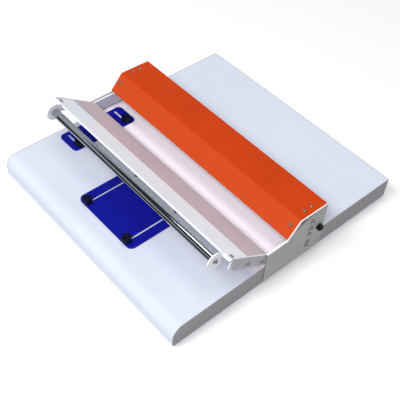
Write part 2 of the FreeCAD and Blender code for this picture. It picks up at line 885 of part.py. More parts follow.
block_cap = cap_screw("block_screw", size("big_shank"), size("big_head"),
                      size("socket_head_high"), block_screw_long)
copies("block_screws", block_cap,
       [(x * block_screw[0], block_screw[1],
         board_top + size("block_high") - size("socket_head_high")) + upright
        for x in (-1, 1)])
pivot_cap = cap_screw("pivot_bolt", size("pivot_shank"), size("pivot_head"),
                      size("pivot_head_high"), pivot_bolt_long)
copies("pivot_bolts", pivot_cap, both_sides([(plate_outer,) + pivot]))
bush = tube("bush", size("bush_radius"), size("pivot_shank") + thread, size("block_gap"))
copies("pivot_bushes", bush, both_sides([(board_side,) + pivot]))
spacer = tube("spacer", size("tube_radius"), size("mid_shank") + thread, size("block_gap"))
copies("spacer_tubes", spacer, both_sides([(board_side, y, z) for y, z in tube_spots]))
rod = new_body("tie_rod")
rod_end = new_sketch(rod, "tie_rod_end", "YZ_Plane")
rings(rod_end, [rod_bolt], size("rod_radius"))
pad(rod, rod_end, board_side * 2, True)
for side in (-1, 1):
    side_holes(rod, "rod_thread_%d" % (side + 1), side * board_side, [rod_bolt],
               size("mid_shank") + thread, side_bolt_deep, side < 0)
keep(rod, "tie_rod")

# Cover: one folded sheet over the plates, with a rear flange between them
cover = side_profile("top_cover", cover_line + list(reversed(under_cover)), -board_side,
                     board_side * 2)
round_edges(cover, size("cover_bend_radius"), on_line(cover_line[1]))
round_edges(cover, inner_bend_radius, on_line(under_cover[1]))
flange = new_sketch(cover, "cover_flange", "XY_Plane",
                    above("cover_rear_above") - size("cover_flange_high"))
flange_side = board_side - size("cover_side_gap")
rectangle(flange, (-flange_side, size("cover_rear_y") - size("cover_thick")),
          (flange_side, size("cover_rear_y")))
pad(cover, flange, size("cover_flange_high") - size("cover_thick") * half)
cover_bores(cover, "cover_holes", (-1, 1), size("small_shank") + thread)
keep(cover, "top_cover")
cover_screw = round_screw("cover_screw", size("small_shank"), size("small_head"),
                          size("small_head_high"), size("plate_thick") * 3)
cover_places = []
for side in (-1, 1):
    for first, distance, slope in cover_screw_spots:
        y, z = along(cover_line[first], cover_line[first + 1], distance)
        cover_places.append((side * cover_screw_x, y, z, along_x, slope))
copies("cover_screws", cover_screw, cover_places)

# Lever arms
beam_screw_spots = [(beam_mid, beam_bottom + size("beam_screw_inset")),
                    (beam_mid, beam_top - size("beam_screw_inset"))]
panel_screw_spots = [(-size("panel_screw_front_y"), above("panel_screw_front_above")),
                     (-size("panel_screw_rear_y"), above("panel_screw_rear_above"))]
hub_back = size("pivot_y") + size("hub_margin")
arm_corners = [(-size("tip_low_y"), above("tip_low_above")),
               (-size("heel_y"), above("heel_above")),
               (size("arm_tail_y"), above("arm_tail_above")),
               (hub_back, pivot_z - size("hub_margin") * half),
               (hub_back, pivot_z + size("hub_margin")),
               (size("pivot_y"), above("arm_rear_above")),
               (size("arm_rear_rise_y"), above("arm_rear_above")),
               (-size("arm_neck_y"), above("arm_neck_above")),
               (-size("notch_y"), above("arm_neck_above")),
               (-size("tip_top_y"), above("tip_top_above"))]
# each spacer tube stops the arm at rest and lets it drop by its own travel
guide_travel = (size("pivot_y") - lower_bolt[0]) * size("press_share")
guide_holes = [(y, z + guide_travel * half) for y, z in tube_spots]
guide_radius = size("tube_radius") + guide_travel * half + size("stop_gap")
for name, side in (("lever_arm_left", -1), ("lever_arm_right", 1)):
    left = -arm_outer if side < 0 else arm_inner
    arm = side_profile(name, arm_corners, left, size("arm_thick"))
    round_edges(arm, size("hub_round"), lambda place, way: points_along_x(way)
                and near(place.y, hub_back))
    side_holes(arm, name + "_pivot", left, [pivot], size("bush_radius") + size("fit_gap"))
    side_holes(arm, name + "_guides", left, guide_holes, guide_radius)
    side_holes(arm, name + "_screws", left, panel_screw_spots + beam_screw_spots,
               size("mid_shank") + thread)
    for count, spot in enumerate(beam_screw_spots):
        sink_seat(arm, "%s_sink_%d" % (name, count), spot, size("mid_shank") + thread,
                  size("mid_head") + thread, "YZ_Plane", side * arm_outer)
    keep(arm, name)

# Panel between the arms, folded once, with a tab down each arm, and the strip on it
strip_line = [(-size("strip_front_y"), above("strip_front_above")),
              (-size("ridge_y"), above("ridge_above"))]
strip_slope = tilt(*step(*strip_line))
strip_low = lowered(strip_line, size("strip_thick"))
panel_line = strip_low + [(-size("panel_rear_y"), above("panel_rear_above"))]
panel_low = lowered(panel_line, size("panel_thick"))
panel = side_profile("lever_panel", panel_line + list(reversed(panel_low)), -arm_inner,
                     arm_inner * 2)
tab_line = lowered(panel_line, size("panel_tab_deep"))
tab_tip = along(panel_low[0], panel_low[1], size("panel_tab_tip"))
tab_deep_tip = along(tab_line[0], tab_line[1], size("panel_tab_lean"))
tab_heel = along(panel_low[2], panel_low[1], size("panel_tab_heel"))
tab_deep_heel = along(tab_line[2], tab_line[1], size("panel_tab_lean"))
for side, left in ((-1, -arm_inner), (1, arm_inner - size("panel_tab_thick"))):
    tab = new_sketch(panel, "panel_tab_%d" % (side + 1), "YZ_Plane", left)
    outline(tab, [tab_tip, panel_low[1], tab_heel, tab_deep_heel, tab_line[1], tab_deep_tip])
    pad(panel, tab, size("panel_tab_thick"))
side_holes(panel, "panel_screw_holes", zero, panel_screw_spots, size("mid_shank") + thread)
strip_screw_back = size("strip_screw_back")
strip_screw_xs = (-size("strip_screw_x"), size("strip_screw_x"))


def strip_bores(body, name, centres):
    sketch = tilted_sketch(body, name, strip_line[0], strip_slope)
    rings(sketch, centres, size("small_shank") + thread)
    cut(body, sketch, size("strip_thick") + size("panel_thick") * 3)


strip_bores(panel, "panel_strip_holes", [(x, strip_screw_back) for x in strip_screw_xs])
keep(panel, "lever_panel")
strip = side_profile("grip_strip", strip_line + list(reversed(strip_low)), -arm_inner,
                     arm_inner * 2)
strip_bores(strip, "strip_holes", [(x, strip_screw_back) for x in strip_screw_xs])
keep(strip, "grip_strip")
panel_screw_long = size("arm_thick") + size("panel_tab_thick") + size(
    "nut_mid_high") * size("nut_overrun_share")
panel_screw = round_screw("panel_screw", size("mid_shank"), size("mid_head"),
                          size("mid_head_high"), panel_screw_long)
copies("panel_screws", panel_screw,
       both_sides([(arm_outer, y, z) for y, z in panel_screw_spots]))
panel_nut = hex_nut("panel_nut", size("mid_shank"), size("nut_mid_high"))
copies("panel_nuts", panel_nut, both_sides(
    [(arm_inner - size("panel_tab_thick"), y, z) for y, z in panel_screw_spots]))

# End plates of the grip: a round cheek about the bar and a bent foot under the panel
foot_line = lowered(strip_line, size("strip_thick") + size("panel_thick"))
foot_tip = along(foot_line[0], foot_line[1], size("leaf_foot_long"))
foot_tip_low = along(foot_line[0], foot_line[1], size("leaf_foot_long"),
                     size("leaf_foot_deep"))
foot_root_low = along(foot_line[0], foot_line[1], zero, size("leaf_foot_thick"))
foot_low = along(foot_line[0], foot_line[1], size("leaf_foot_long"),
                 size("leaf_foot_thick"))
leaf_corners = [
    (bar_axis[0] + size("leaf_radius") * size("leaf_over_share"),
     bar_axis[1] + size("leaf_radius") * size("leaf_over_rise_share")),
    (bar_axis[0] + size("leaf_radius") * size("leaf_under_share"),
     bar_axis[1] - size("leaf_radius") * size("leaf_under_rise_share"),
     size("leaf_radius"), True),
    (-size("leaf_low_y"), above("leaf_low_above")),
    (-size("leaf_waist_y"), above("leaf_waist_above")),
    foot_tip_low, foot_tip, foot_line[0],
    (-size("leaf_top_y"), above("leaf_top_above"))]
foot_outer = arm_inner - size("panel_tab_thick") - size("slide_gap")
for name, side in (("handle_end_plate_left", -1), ("handle_end_plate_right", 1)):
    left = -leaf_outer if side < 0 else size("leaf_x")
    leaf = side_profile(name, leaf_corners, left, size("leaf_thick"))
    ledge = new_sketch(leaf, name + "_ledge", "YZ_Plane",
                       -foot_outer if side < 0 else size("leaf_x"))
    outline(ledge, [foot_root_low, foot_low, foot_tip, foot_line[0]])
    pad(leaf, ledge, foot_outer - size("leaf_x"))
    side_holes(leaf, name + "_bolt", left, [bar_axis], size("big_shank") + thread)
    strip_bores(leaf, name + "_screw", [(side * size("strip_screw_x"), strip_screw_back)])
    keep(leaf, name)
strip_screw_long = size("strip_thick") + size("panel_thick") + size(
    "leaf_foot_thick") + size("nut_small_high") * size("nut_overrun_share")
strip_screw = round_screw("strip_screw", size("small_shank"), size("small_head"),
                          size("small_head_high"), strip_screw_long)
strip_screw_spot = along(strip_line[0], strip_line[1], strip_screw_back)
strip_nut_spot = along(foot_line[0], foot_line[1], strip_screw_back, size("leaf_foot_thick"))
copies("strip_screws", strip_screw,
       [(x,) + strip_screw_spot + (along_x, strip_slope) for x in strip_screw_xs])
strip_nut = hex_nut("strip_nut", size("small_shank"), size("nut_small_high"))
copies("strip_nuts", strip_nut,
       [(x,) + strip_nut_spot + (along_x, strip_slope) for x in strip_screw_xs])

# Grip bar
bar = new_body("handle_bar")
bar_end = new_sketch(bar, "handle_bar_end", "YZ_Plane")
rings(bar_end, [bar_axis], size("bar_radius"))
pad(bar, bar_end, size("leaf_x") * 2, True)
for side in (-1, 1):
    side_holes(bar, "bar_thread_%d" % (side + 1), side * size("leaf_x"), [bar_axis],
               size("big_shank") + thread, bolt_long + size("screw_overrun"), side < 0)
keep(bar, "handle_bar")
bar_bolt = round_screw("bar_bolt", size("big_shank"), size("big_head"),
                       size("big_head_high"), bolt_long)
copies("handle_bolts", bar_bolt, both_sides([(leaf_outer,) + bar_axis]))

# Press beam between the arms, the blade on its front face and the bar that clamps it
beam = block("press_beam", (-arm_inner, blade_back, beam_bottom),
             (arm_inner, beam_back, beam_top))
spring_spots = [(x * size("spring_x"), beam_mid) for x in (-1, 1)]
top_holes(beam, "spring_pockets", beam_bottom, spring_spots, size("pocket_radius"),
          size("pocket_deep"), True)
beam_screw_long = arm_outer - size("spring_x") - size("pocket_radius") - size("screw_overrun")
for side in (-1, 1):
    side_holes(beam, "beam_thread_%d" % (side + 1), side * arm_inner, beam_screw_spots,
               size("mid_shank") + thread, beam_screw_long - size("arm_thick"), side < 0)
clamp_xs = [size("clamp_screw_step") * count for count in (-2, -1, 0, 1, 2)]
clamp_screw_long = size("clamp_thick") + size("blade_thick") + size(
    "beam_thick") * size("clamp_screw_share")


def front_holes(body, name, front, centres, radius, depth=None):
    sketch = new_sketch(body, name, "XZ_Plane", -front)
    rings(sketch, centres, radius)
    return cut(body, sketch, depth, False)


clamp_spots = [(x, clamp_mid) for x in clamp_xs]
front_holes(beam, "beam_front_threads", blade_back, clamp_spots,
            size("mid_shank") + thread, size("beam_thick") * size("clamp_hole_share"))
keep(beam, "press_beam")
beam_screw = sunk_screw("beam_screw", size("mid_shank"), size("mid_head"), beam_screw_long)
copies("beam_screws", beam_screw,
       both_sides([(arm_outer, y, z) for y, z in beam_screw_spots]))
blade = block("crease_blade", (-size("blade_half_long"), blade_front, blade_tip),
              (size("blade_half_long"), blade_back, blade_tip + size("blade_high")))
round_edges(blade, size("blade_round"), lambda place, way: points_along_x(way)
            and near(place.z, blade_tip))
front_holes(blade, "blade_holes", blade_back, clamp_spots, size("mid_shank") + thread)
keep(blade, "crease_blade")
clamp = block("blade_clamp", (-size("blade_half_long"), clamp_front, clamp_bottom),
              (size("blade_half_long"), blade_front, clamp_bottom + size("clamp_high")))
front_holes(clamp, "clamp_holes", blade_front, clamp_spots, size("mid_shank") + thread)
keep(clamp, "blade_clamp")
clamp_cap = cap_screw("clamp_screw", size("mid_shank"), size("mid_head"),
                      size("socket_head_high"), clamp_screw_long)
copies("clamp_screws", clamp_cap,
       [(x, clamp_front, clamp_mid) + facing_front for x in clamp_xs])

# Return springs between the board and the pockets in the beam
spring_low = board_top + size("spring_gap") + size("wire_radius")
spring_long = (size("beam_bottom_above") + size("pocket_deep")
               - (size("spring_gap") + size("wire_radius")) * 2)
helix = doc.addObject("Part::Helix", "spring_path")
bind(helix, "Height", spring_long)
bind(helix, "Pitch", spring_long / size("spring_turns"))
bind(helix, "Radius", size("spring_radius"))
wire = doc.addObject("Part::Circle", "spring_wire")
wire.Placement = Placement(Vector(), Rotation(along_x, 90))
bind(wire, "Radius", size("wire_radius"))
bind(wire, "Placement.Base.x", size("spring_radius"))
coil = doc.addObject("Part::Sweep", "spring_coil")
coil.Sections = [wire]
coil.Spine = (helix, ["Edge1"])
coil.Solid = True
coil.Frenet = True
doc.recompute()
copies("return_springs", coil, [(x, y, spring_low) + upright for x, y in spring_spots])

# Stop plate and side guide, thin plates that lie on the board
stop = block("stop_plate",
             (-size("stop_width") * half, -size("stop_front_y"), board_top),
             (size("stop_width") * half, -size("stop_rear_y"),
              board_top + size("stop_thick")))
round_edges(stop, size("stop_corner"), lambda place, way: points_along_z(way)
            and near(place.y, -size("stop_front_y")))
stop_slots = new_sketch(stop, "stop_slots", "XY_Plane", board_top)
for side in (-1, 1):
    slot(stop_slots, (side * size("stop_slot_x"), -size("stop_slot_front_y")),
         (side * size("stop_slot_x"), -size("stop_slot_rear_y")), size("slot_radius"))
cut(stop, stop_slots)
keep(stop, "stop_plate")
guide = block("side_guide",
              (-size("guide_left_x"), -size("guide_front_y"), board_top),
              (-size("guide_right_x"), -size("guide_rear_y"),
               board_top + size("guide_thick")))
round_edges(guide, size("guide_corner"), lambda place, way: points_along_z(way))
guide_slots = new_sketch(guide, "guide_slots", "XY_Plane", board_top)
for slot_y in (size("guide_slot_front_y"), size("guide_slot_rear_y")):
    slot(guide_slots, (-size("guide_slot_left_x"), -slot_y),
         (-size("guide_slot_right_x"), -slot_y), size("slot_radius"))
cut(guide, guide_slots)
keep(guide, "side_guide")

# Fluted knobs on studs
for name, (x, y) in knob_spots.items():
    plate_top = board_top + (size("stop_thick") if "stop" in name else size("guide_thick"))
    base = plate_top + size("slide_gap")
    collar = base + size("knob_collar_high")
    crown = base + size("knob_high")
    knob = turned(name, [(zero, base - size("stud_long")),
                         (size("stud_radius"), base - size("stud_long")),
                         (size("stud_radius"), base), (size("knob_collar_radius"), base),
                         (size("knob_collar_radius"), collar), (size("knob_radius"), collar),
                         (size("knob_radius"), crown - size("knob_crown")),
                         (size("knob_radius") - size("knob_crown"), crown), (zero, crown)])
    flute = new_sketch(knob, name + "_flute", "XY_Plane", crown)
    rings(flute, [(size("knob_radius") + size("flute_radius") * (1 - size("flute_share")),
                   zero)], size("flute_radius"))
    groove = cut(knob, flute, size("knob_high") - size("knob_collar_high"))
    ring = knob.newObject("PartDesign::PolarPattern", name + "_flutes")
    ring.Originals = [groove]
    ring.Axis = (flute, ["N_Axis"])
    ring.Angle = 360
    bind(ring, "Occurrences", size("flute_count_share"))
    knob.Tip = ring
    doc.recompute()
    bind(knob, "Placement.Base.x", x)
    bind(knob, "Placement.Base.y", y)
    keep(knob, name)

# Checks, then one file for each sub-part
doc.recompute()
for item in doc.Objects:
    if "Invalid" in item.State or "Error" in item.State:
        raise RuntimeError("%s could not be made" % item.Label)
for item in nodes:
    if item.Shape.isNull() or not item.Shape.isValid() or not item.Shape.Solids:
        raise RuntimeError("%s has no good solid" % item.Label)
os.makedirs("parts", exist_ok=True)
for item in nodes:
    item.Shape.exportStep("parts/%s.step" % item.Label)
    box = item.Shape.BoundBox
    print("%-24s %2d solids  x %7.1f %7.1f  y %7.1f %7.1f  z %6.1f %6.1f" % (
        item.Label, len(item.Shape.Solids), box.XMin, box.XMax, box.YMin, box.YMax,
        box.ZMin, box.ZMax))
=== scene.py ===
import json
import math

import bmesh
import bpy
from mathutils import Matrix, Vector


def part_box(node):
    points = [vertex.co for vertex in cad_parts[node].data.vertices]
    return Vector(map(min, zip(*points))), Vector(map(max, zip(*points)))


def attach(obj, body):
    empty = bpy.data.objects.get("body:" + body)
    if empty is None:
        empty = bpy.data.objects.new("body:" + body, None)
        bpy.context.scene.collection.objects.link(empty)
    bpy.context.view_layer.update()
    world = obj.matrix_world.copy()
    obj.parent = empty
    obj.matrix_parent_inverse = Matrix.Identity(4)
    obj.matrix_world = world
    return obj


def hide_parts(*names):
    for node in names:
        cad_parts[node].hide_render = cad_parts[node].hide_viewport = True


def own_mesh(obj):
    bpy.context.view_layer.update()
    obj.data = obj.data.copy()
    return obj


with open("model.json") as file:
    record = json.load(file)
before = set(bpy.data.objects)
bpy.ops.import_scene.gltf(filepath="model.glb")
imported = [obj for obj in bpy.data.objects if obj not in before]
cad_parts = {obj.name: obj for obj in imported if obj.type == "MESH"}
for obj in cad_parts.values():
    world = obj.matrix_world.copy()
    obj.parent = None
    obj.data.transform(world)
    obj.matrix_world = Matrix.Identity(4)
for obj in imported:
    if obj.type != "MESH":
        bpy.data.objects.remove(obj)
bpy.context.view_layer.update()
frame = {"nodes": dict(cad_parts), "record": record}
nodeBodies = {node: body for body, nodes in frame["record"]["behaviour"]["bodies"].items()
              for node in nodes}
nodeSlots = {row["node"]: row["material_slot"] for row in frame["record"]["subparts"]}
print("frame loaded:", len(frame["nodes"]), "nodes")

mm = 0.001

# Camera: the photograph's viewpoint, worked out from the board's corners
cameraView = {
    "place": (0.72871, -0.70195, 1.07467),   # metres, in the machine's frame
    "azimuth": 45.59,                        # degrees from straight ahead
    "elevation": 47.76,
    "roll": 4.42,
    "focalPixels": 750.98,                   # for a picture 400 pixels wide
    "pictureWidth": 400,
    "sensor": 36.0,
    "nearest": 0.01,
}


def makeCamera():
    azimuth, elevation, roll = (math.radians(cameraView[k])
                                for k in ("azimuth", "elevation", "roll"))
    ahead = Vector((-math.sin(azimuth) * math.cos(elevation),
                    math.cos(azimuth) * math.cos(elevation), -math.sin(elevation)))
    level = Vector((math.cos(azimuth), math.sin(azimuth), 0))
    upward = level.cross(ahead)
    right = math.cos(roll) * level + math.sin(roll) * upward
    top = -math.sin(roll) * level + math.cos(roll) * upward
    data = bpy.data.cameras.new("camera")
    data.sensor_width = cameraView["sensor"]
    data.lens = cameraView["sensor"] * cameraView["focalPixels"] / cameraView["pictureWidth"]
    data.clip_start = cameraView["nearest"]
    camera = bpy.data.objects.new("camera", data)
    turn = Matrix((right, top, -ahead)).transposed()
    camera.matrix_world = Matrix.Translation(cameraView["place"]) @ turn.to_4x4()
    bpy.context.scene.collection.objects.link(camera)
    bpy.context.scene.camera = camera
    bpy.context.scene.view_settings.view_transform = "Standard"


makeCamera()
print("camera placed")

# Lights: two big soft ones high in front, one of them to the right, one overhead, and a pale
# room. Gloss sees harder pale and dark bands in the room, no floor and only the top lamp, so
# that the bar shows stripes; the camera sees one plain pale shade past the floor
roomLight = {
    "floorShade": (0.94, 0.94, 0.945, 1),
    "floorRoughness": 0.95,
    "floorSpecular": 0.1,
    "floorSize": 5.0,
    "skyShade": (0.93, 0.96, 1.0, 1),
    # bands: (height of the direction, from -1 straight down to 1 straight up; strength)
    "skyBands": [(0.0, 0.04), (0.10, 0.05), (0.20, 0.52), (0.64, 0.52), (0.78, 0.13),
                 (1.0, 0.13)],
    "glossBands": [(-1.0, 0.55), (-0.50, 0.55), (-0.40, 0.03), (0.20, 0.03), (0.29, 0.60),
                   (0.58, 0.60), (0.69, 0.05), (1.0, 0.05)],
    "wallStrength": 0.86,
    "lamps": [
        # name, place, aim, width, height, watts, shows in gloss
        ("keyLamp", (-0.45, -2.3, 3.35), (0, 0, 0.05), 1.5, 1.4, 80, False),
        ("rightLamp", (1.8, -2.4, 3.2), (0, 0, 0.05), 1.5, 1.4, 66, False),
        ("topLamp", (0.1, 0.4, 3.8), (0, 0.1, 0), 2.0, 1.6, 40, True),
    ],
}


def makeRoom():
    world = bpy.data.worlds.new("room")
    world.use_nodes = True
    tree = world.node_tree
    sky = tree.nodes["Background"]
    sky.inputs["Color"].default_value = roomLight["skyShade"]
    way = tree.nodes.new("ShaderNodeTexCoord")
    parts = tree.nodes.new("ShaderNodeSeparateXYZ")
    tree.links.new(way.outputs["Generated"], parts.inputs[0])
    height = tree.nodes.new("ShaderNodeMapRange")
    height.inputs["From Min"].default_value = -1.0
    tree.links.new(parts.outputs["Z"], height.inputs["Value"])
    light = tree.nodes.new("ShaderNodeLightPath")

    def banded(rows):
        bands = tree.nodes.new("ShaderNodeValToRGB")
        stops = bands.color_ramp.elements
        while len(stops) < len(rows):
            stops.new(1.0)
        for stop, (up, strength) in zip(stops, rows):
            stop.position = (up + 1) / 2
            stop.color = (strength, strength, strength, 1)
        tree.links.new(height.outputs["Result"], bands.inputs[0])
        return bands.outputs["Color"]

    def choose(ray, otherwise, chosen):
        node = tree.nodes.new("ShaderNodeMix")
        for socket, value in zip((node.inputs[0], node.inputs[2], node.inputs[3]),
                                 (light.outputs[ray], otherwise, chosen)):
            if isinstance(value, float):
                socket.default_value = value
            else:
                tree.links.new(value, socket)
        return node.outputs[0]

    shade = choose("Is Glossy Ray", banded(roomLight["skyBands"]),
                   banded(roomLight["glossBands"]))
    tree.links.new(choose("Is Camera Ray", shade, roomLight["wallStrength"]),
                   sky.inputs["Strength"])
    bpy.context.scene.world = world
    reach = roomLight["floorSize"] / 2
    mesh = bpy.data.meshes.new("floor")
    mesh.from_pydata([(-reach, -reach, 0), (reach, -reach, 0), (reach, reach, 0),
                      (-reach, reach, 0)], [], [(0, 1, 2, 3)])
    floor = bpy.data.objects.new("floor", mesh)
    floor.visible_glossy = False
    bpy.context.scene.collection.objects.link(floor)
    material = bpy.data.materials.new("floorPaper")
    material.use_nodes = True
    shader = material.node_tree.nodes["Principled BSDF"]
    shader.inputs["Base Color"].default_value = roomLight["floorShade"]
    shader.inputs["Roughness"].default_value = roomLight["floorRoughness"]
    shader.inputs["Specular IOR Level"].default_value = roomLight["floorSpecular"]
    mesh.materials.append(material)
    for name, place, aim, width, height, watts, inGloss in roomLight["lamps"]:
        data = bpy.data.lights.new(name, "AREA")
        data.shape = "RECTANGLE"
        data.size, data.size_y, data.energy = width, height, watts
        lamp = bpy.data.objects.new(name, data)
        lamp.location = place
        lamp.visible_glossy = inGloss
        lamp.rotation_euler = (Vector(aim) - Vector(place)).to_track_quat("-Z", "Y").to_euler()
        bpy.context.scene.collection.objects.link(lamp)


makeRoom()
print("room lit")

# Finishes: colours are (red, green, blue), linear from 0 to 1; sizes of grain are in
# millimetres; wear is how far the edges rub through to the worn colour. The lane is a stretch
# of the board from front to rear, in millimetres, painted paler and pinker between panel and
# cover: painted light, for the light and the orange cover's reflection thrown onto the board
# there. Whether that is its own colour or thrown light is a guess
finishes = {
    "boardLaminate": {"slot": "board_top", "colour": (0.645, 0.69, 0.79), "roughness": 0.40,
                      "specular": 0.35, "drift": 0.025, "driftSize": 150, "grainSize": 1.4,
                      "grain": 0.035, "wear": 0.35, "worn": (0.80, 0.82, 0.88),
                      "scuff": 0.05, "scuffSize": 70,
                      "bounceLane": {"front": -94, "rear": 20, "soft": 14,
                               "colour": (0.93, 0.86, 0.935)}},
    "edgeBand": {"slot": "board_edge", "colour": (0.285, 0.275, 0.285), "roughness": 0.55,
                 "drift": 0.05, "driftSize": 55, "grainSize": 0.8, "grain": 0.10,
                 "wear": 0.3, "worn": (0.62, 0.61, 0.64), "scuff": 0.06, "scuffSize": 18},
    "orangeCoat": {"slot": "cover_orange", "colour": (0.545, 0.047, 0.0043),
                   "roughness": 0.45, "specular": 0.10, "drift": 0.05, "driftSize": 110,
                   "grainSize": 0.9, "grain": 0.09,
                   "wear": 0.30, "worn": (0.72, 0.16, 0.05), "scuff": 0.05, "scuffSize": 60},
    "leverCoat": {"slot": "lever_white", "colour": (0.78, 0.76, 0.83), "roughness": 0.38,
                  "specular": 0.35, "drift": 0.03, "driftSize": 80, "grainSize": 0.8,
                  "grain": 0.08, "coat": 0.1, "wear": 0.45, "worn": (0.86, 0.86, 0.90),
                  "scuff": 0.04, "scuffSize": 30},
    # painted shade: a darker copy of the lever's light paint, for the arms' faces other than
    # their tops and inward faces
    "leverShadedSide": {"slot": "lever_white", "colour": (0.40, 0.385, 0.42), "roughness": 0.40,
                  "specular": 0.35, "drift": 0.04, "driftSize": 60, "grainSize": 0.8,
                  "grain": 0.08, "wear": 0.6, "worn": (0.80, 0.80, 0.84),
                  "scuff": 0.05, "scuffSize": 24},
    # the grip strip's own white; on the tops of the arms and end plates and on the panel's
    # front edge it is painted light, a lit copy of the lever paint
    "stripWhiteAndLitTops": {"slot": "lever_white", "colour": (0.89, 0.93, 0.99), "roughness": 0.36,
                  "specular": 0.35, "drift": 0.02, "driftSize": 90, "grainSize": 0.8,
                  "grain": 0.06, "coat": 0.1, "wear": 0.3, "worn": (0.95, 0.95, 0.96),
                  "scuff": 0.04, "scuffSize": 30},
    # painted reflection: the panel's pinkish tint stands for the orange cover reflected in its
    # rear-facing slope
    "panelCoat": {"slot": "panel_steel", "colour": (0.60, 0.52, 0.555), "roughness": 0.36,
                  "specular": 0.35, "drift": 0.05, "driftSize": 130, "grainSize": 0.9,
                  "grain": 0.07, "coat": 0.08, "wear": 0.4, "worn": (0.78, 0.75, 0.78),
                  "scuff": 0.05, "scuffSize": 45},
    # on the side plates this grey is painted shade: their outward faces carry a darker copy of
    # the light paint of their inward faces
    "plateCoat": {"slot": "plate_grey", "colour": (0.352, 0.357, 0.34), "roughness": 0.42,
                  "specular": 0.4, "drift": 0.05, "driftSize": 50, "grainSize": 0.8,
                  "grain": 0.09, "coat": 0.08, "wear": 0.75, "worn": (0.80, 0.80, 0.80),
                  "scuff": 0.06, "scuffSize": 22, "cornerShadeAndDirt": 0.75},
    # painted highlight: a near-white copy of the plate paint for the side plates' upper edges,
    # where the rounded bend catches the light
    "plateLitRim": {"slot": "plate_grey", "colour": (0.84, 0.83, 0.80), "roughness": 0.36,
                 "specular": 0.4, "drift": 0.04, "driftSize": 30, "grainSize": 0.5,
                 "grain": 0.10, "stretch": (1, 6, 6), "scuff": 0.06, "scuffSize": 12},
    "stopBlue": {"slot": "stop_blue", "colour": (0.0050, 0.0075, 0.275), "roughness": 0.34,
                 "specular": 0.12, "drift": 0.10, "driftSize": 38, "grainSize": 0.9,
                 "grain": 0.07, "wear": 0.4, "worn": (0.05, 0.06, 0.36),
                 "scuff": 0.08, "scuffSize": 26},
    "barChrome": {"slot": "chrome", "colour": (0.48, 0.50, 0.53), "roughness": 0.09,
                  "drift": 0.04, "driftSize": 24, "grainSize": 0.6, "grain": 0.004,
                  "metal": 1.0, "stretch": (16, 1, 1), "scuff": 0.05, "scuffSize": 14},
    "brightZinc": {"slot": "zinc", "colour": (0.80, 0.81, 0.82), "roughness": 0.17,
                   "drift": 0.08, "driftSize": 5, "grainSize": 0.4, "grain": 0.05,
                   "metal": 1.0, "scuff": 0.08, "scuffSize": 3, "cornerShadeAndDirt": 0.8},
    "yellowZinc": {"slot": "zinc", "colour": (0.74, 0.52, 0.30), "roughness": 0.24,
                   "drift": 0.10, "driftSize": 3, "grainSize": 0.4, "grain": 0.05,
                   "metal": 1.0, "scuff": 0.08, "scuffSize": 3},
    "groundSteel": {"slot": "tool_steel", "colour": (0.44, 0.45, 0.47), "roughness": 0.34,
                    "drift": 0.07, "driftSize": 30, "grainSize": 0.3, "grain": 0.12,
                    "metal": 1.0, "stretch": (20, 1, 1), "scuff": 0.10, "scuffSize": 12},
    "springWire": {"slot": "spring_steel", "colour": (0.36, 0.37, 0.39), "roughness": 0.3,
                   "drift": 0.06, "driftSize": 4, "grainSize": 0.3, "grain": 0.06,
                   "metal": 1.0},
    "turnedBrass": {"slot": "brass", "colour": (0.40, 0.31, 0.17), "roughness": 0.32,
                    "drift": 0.08, "driftSize": 6, "grainSize": 0.25, "grain": 0.10,
                    "metal": 1.0, "stretch": (1, 1, 0.2)},
    "oiledBronze": {"slot": "bronze", "colour": (0.36, 0.20, 0.09), "roughness": 0.45,
                    "drift": 0.10, "driftSize": 5, "grainSize": 0.4, "grain": 0.15,
                    "metal": 1.0},
    "blackOxide": {"slot": "black_steel", "colour": (0.020, 0.019, 0.022),
                   "roughness": 0.36, "drift": 0.15, "driftSize": 6, "grainSize": 0.4,
                   "grain": 0.10, "metal": 0.7, "wear": 0.35, "worn": (0.16, 0.15, 0.15)},
    "knobPlastic": {"slot": "knob_black", "colour": (0.0022, 0.0040, 0.0190),
                    "roughness": 0.40, "specular": 0.15, "drift": 0.15, "driftSize": 9,
                    "grainSize": 0.5, "grain": 0.14, "wear": 0.25,
                    "worn": (0.04, 0.04, 0.05), "scuff": 0.05, "scuffSize": 5},
    "footRubber": {"slot": "rubber", "colour": (0.020, 0.020, 0.022), "roughness": 0.8,
                   "drift": 0.15, "driftSize": 10, "grainSize": 0.7, "grain": 0.25,
                   "specular": 0.25, "wear": 0.3, "worn": (0.07, 0.07, 0.07)},
}
# Painted light: the cover's front slope gets a lighter copy of the orange coat, for the light
# that falls more fully on it than on its top
finishes["orangeLitSlope"] = dict(finishes["orangeCoat"], colour=(0.565, 0.064, 0.0120))

finishMaking = {
    # alike for all finishes; a pair is the stretch of values over which a mark comes or goes
    "edgeReach": 0.9,         # mm, how far in from an edge the coat can be rubbed
    "cornerShadeReach": 3.5,         # mm, how far out of a corner the painted shade and dirt reach
    "coatRoughness": 0.16,
    "roughShare": 0.14,       # by which the roughness goes up and down
    "noiseSpan": (0.3, 0.7), "cornerSamples": 8, "edgeSamples": 6,
    "speckle": 0.35,          # how much of the fine speckle shows
    "speckleShade": 1.4,      # how dark it is, in drifts
    "patches": (0.52, 0.68), "streaks": (0.40, 0.62),
    "scuffShow": 2.2, "scuffShade": 0.82, "scuffLift": 0.005,
    # corners and the next value: the stretch of occlusion over which the corners' painted shade
    # and dirt come in, and their colour as a share of the coat's
    "corners": (0.45, 0.92), "cornerShadeTone": 0.12,
    "edges": (0.74, 0.96), "breaks": (0.35, 0.6), "leastBroken": 0.35,
    "rubbedRoughness": 0.12,
}
noiseKinds = {
    # noise: (times the size that it's given, detail, roughness)
    "drift": (1, 3.0, 0.55), "speckle": (1.7, 2.0, 0.6), "gloss": (7, 3.0, 0.55),
    "patch": (1, 4.0, 0.62), "streak": (3.1, 4.0, 0.7), "broken": (5, 3.0, 0.65),
    "grain": (1, 2.0, 0.5),
}


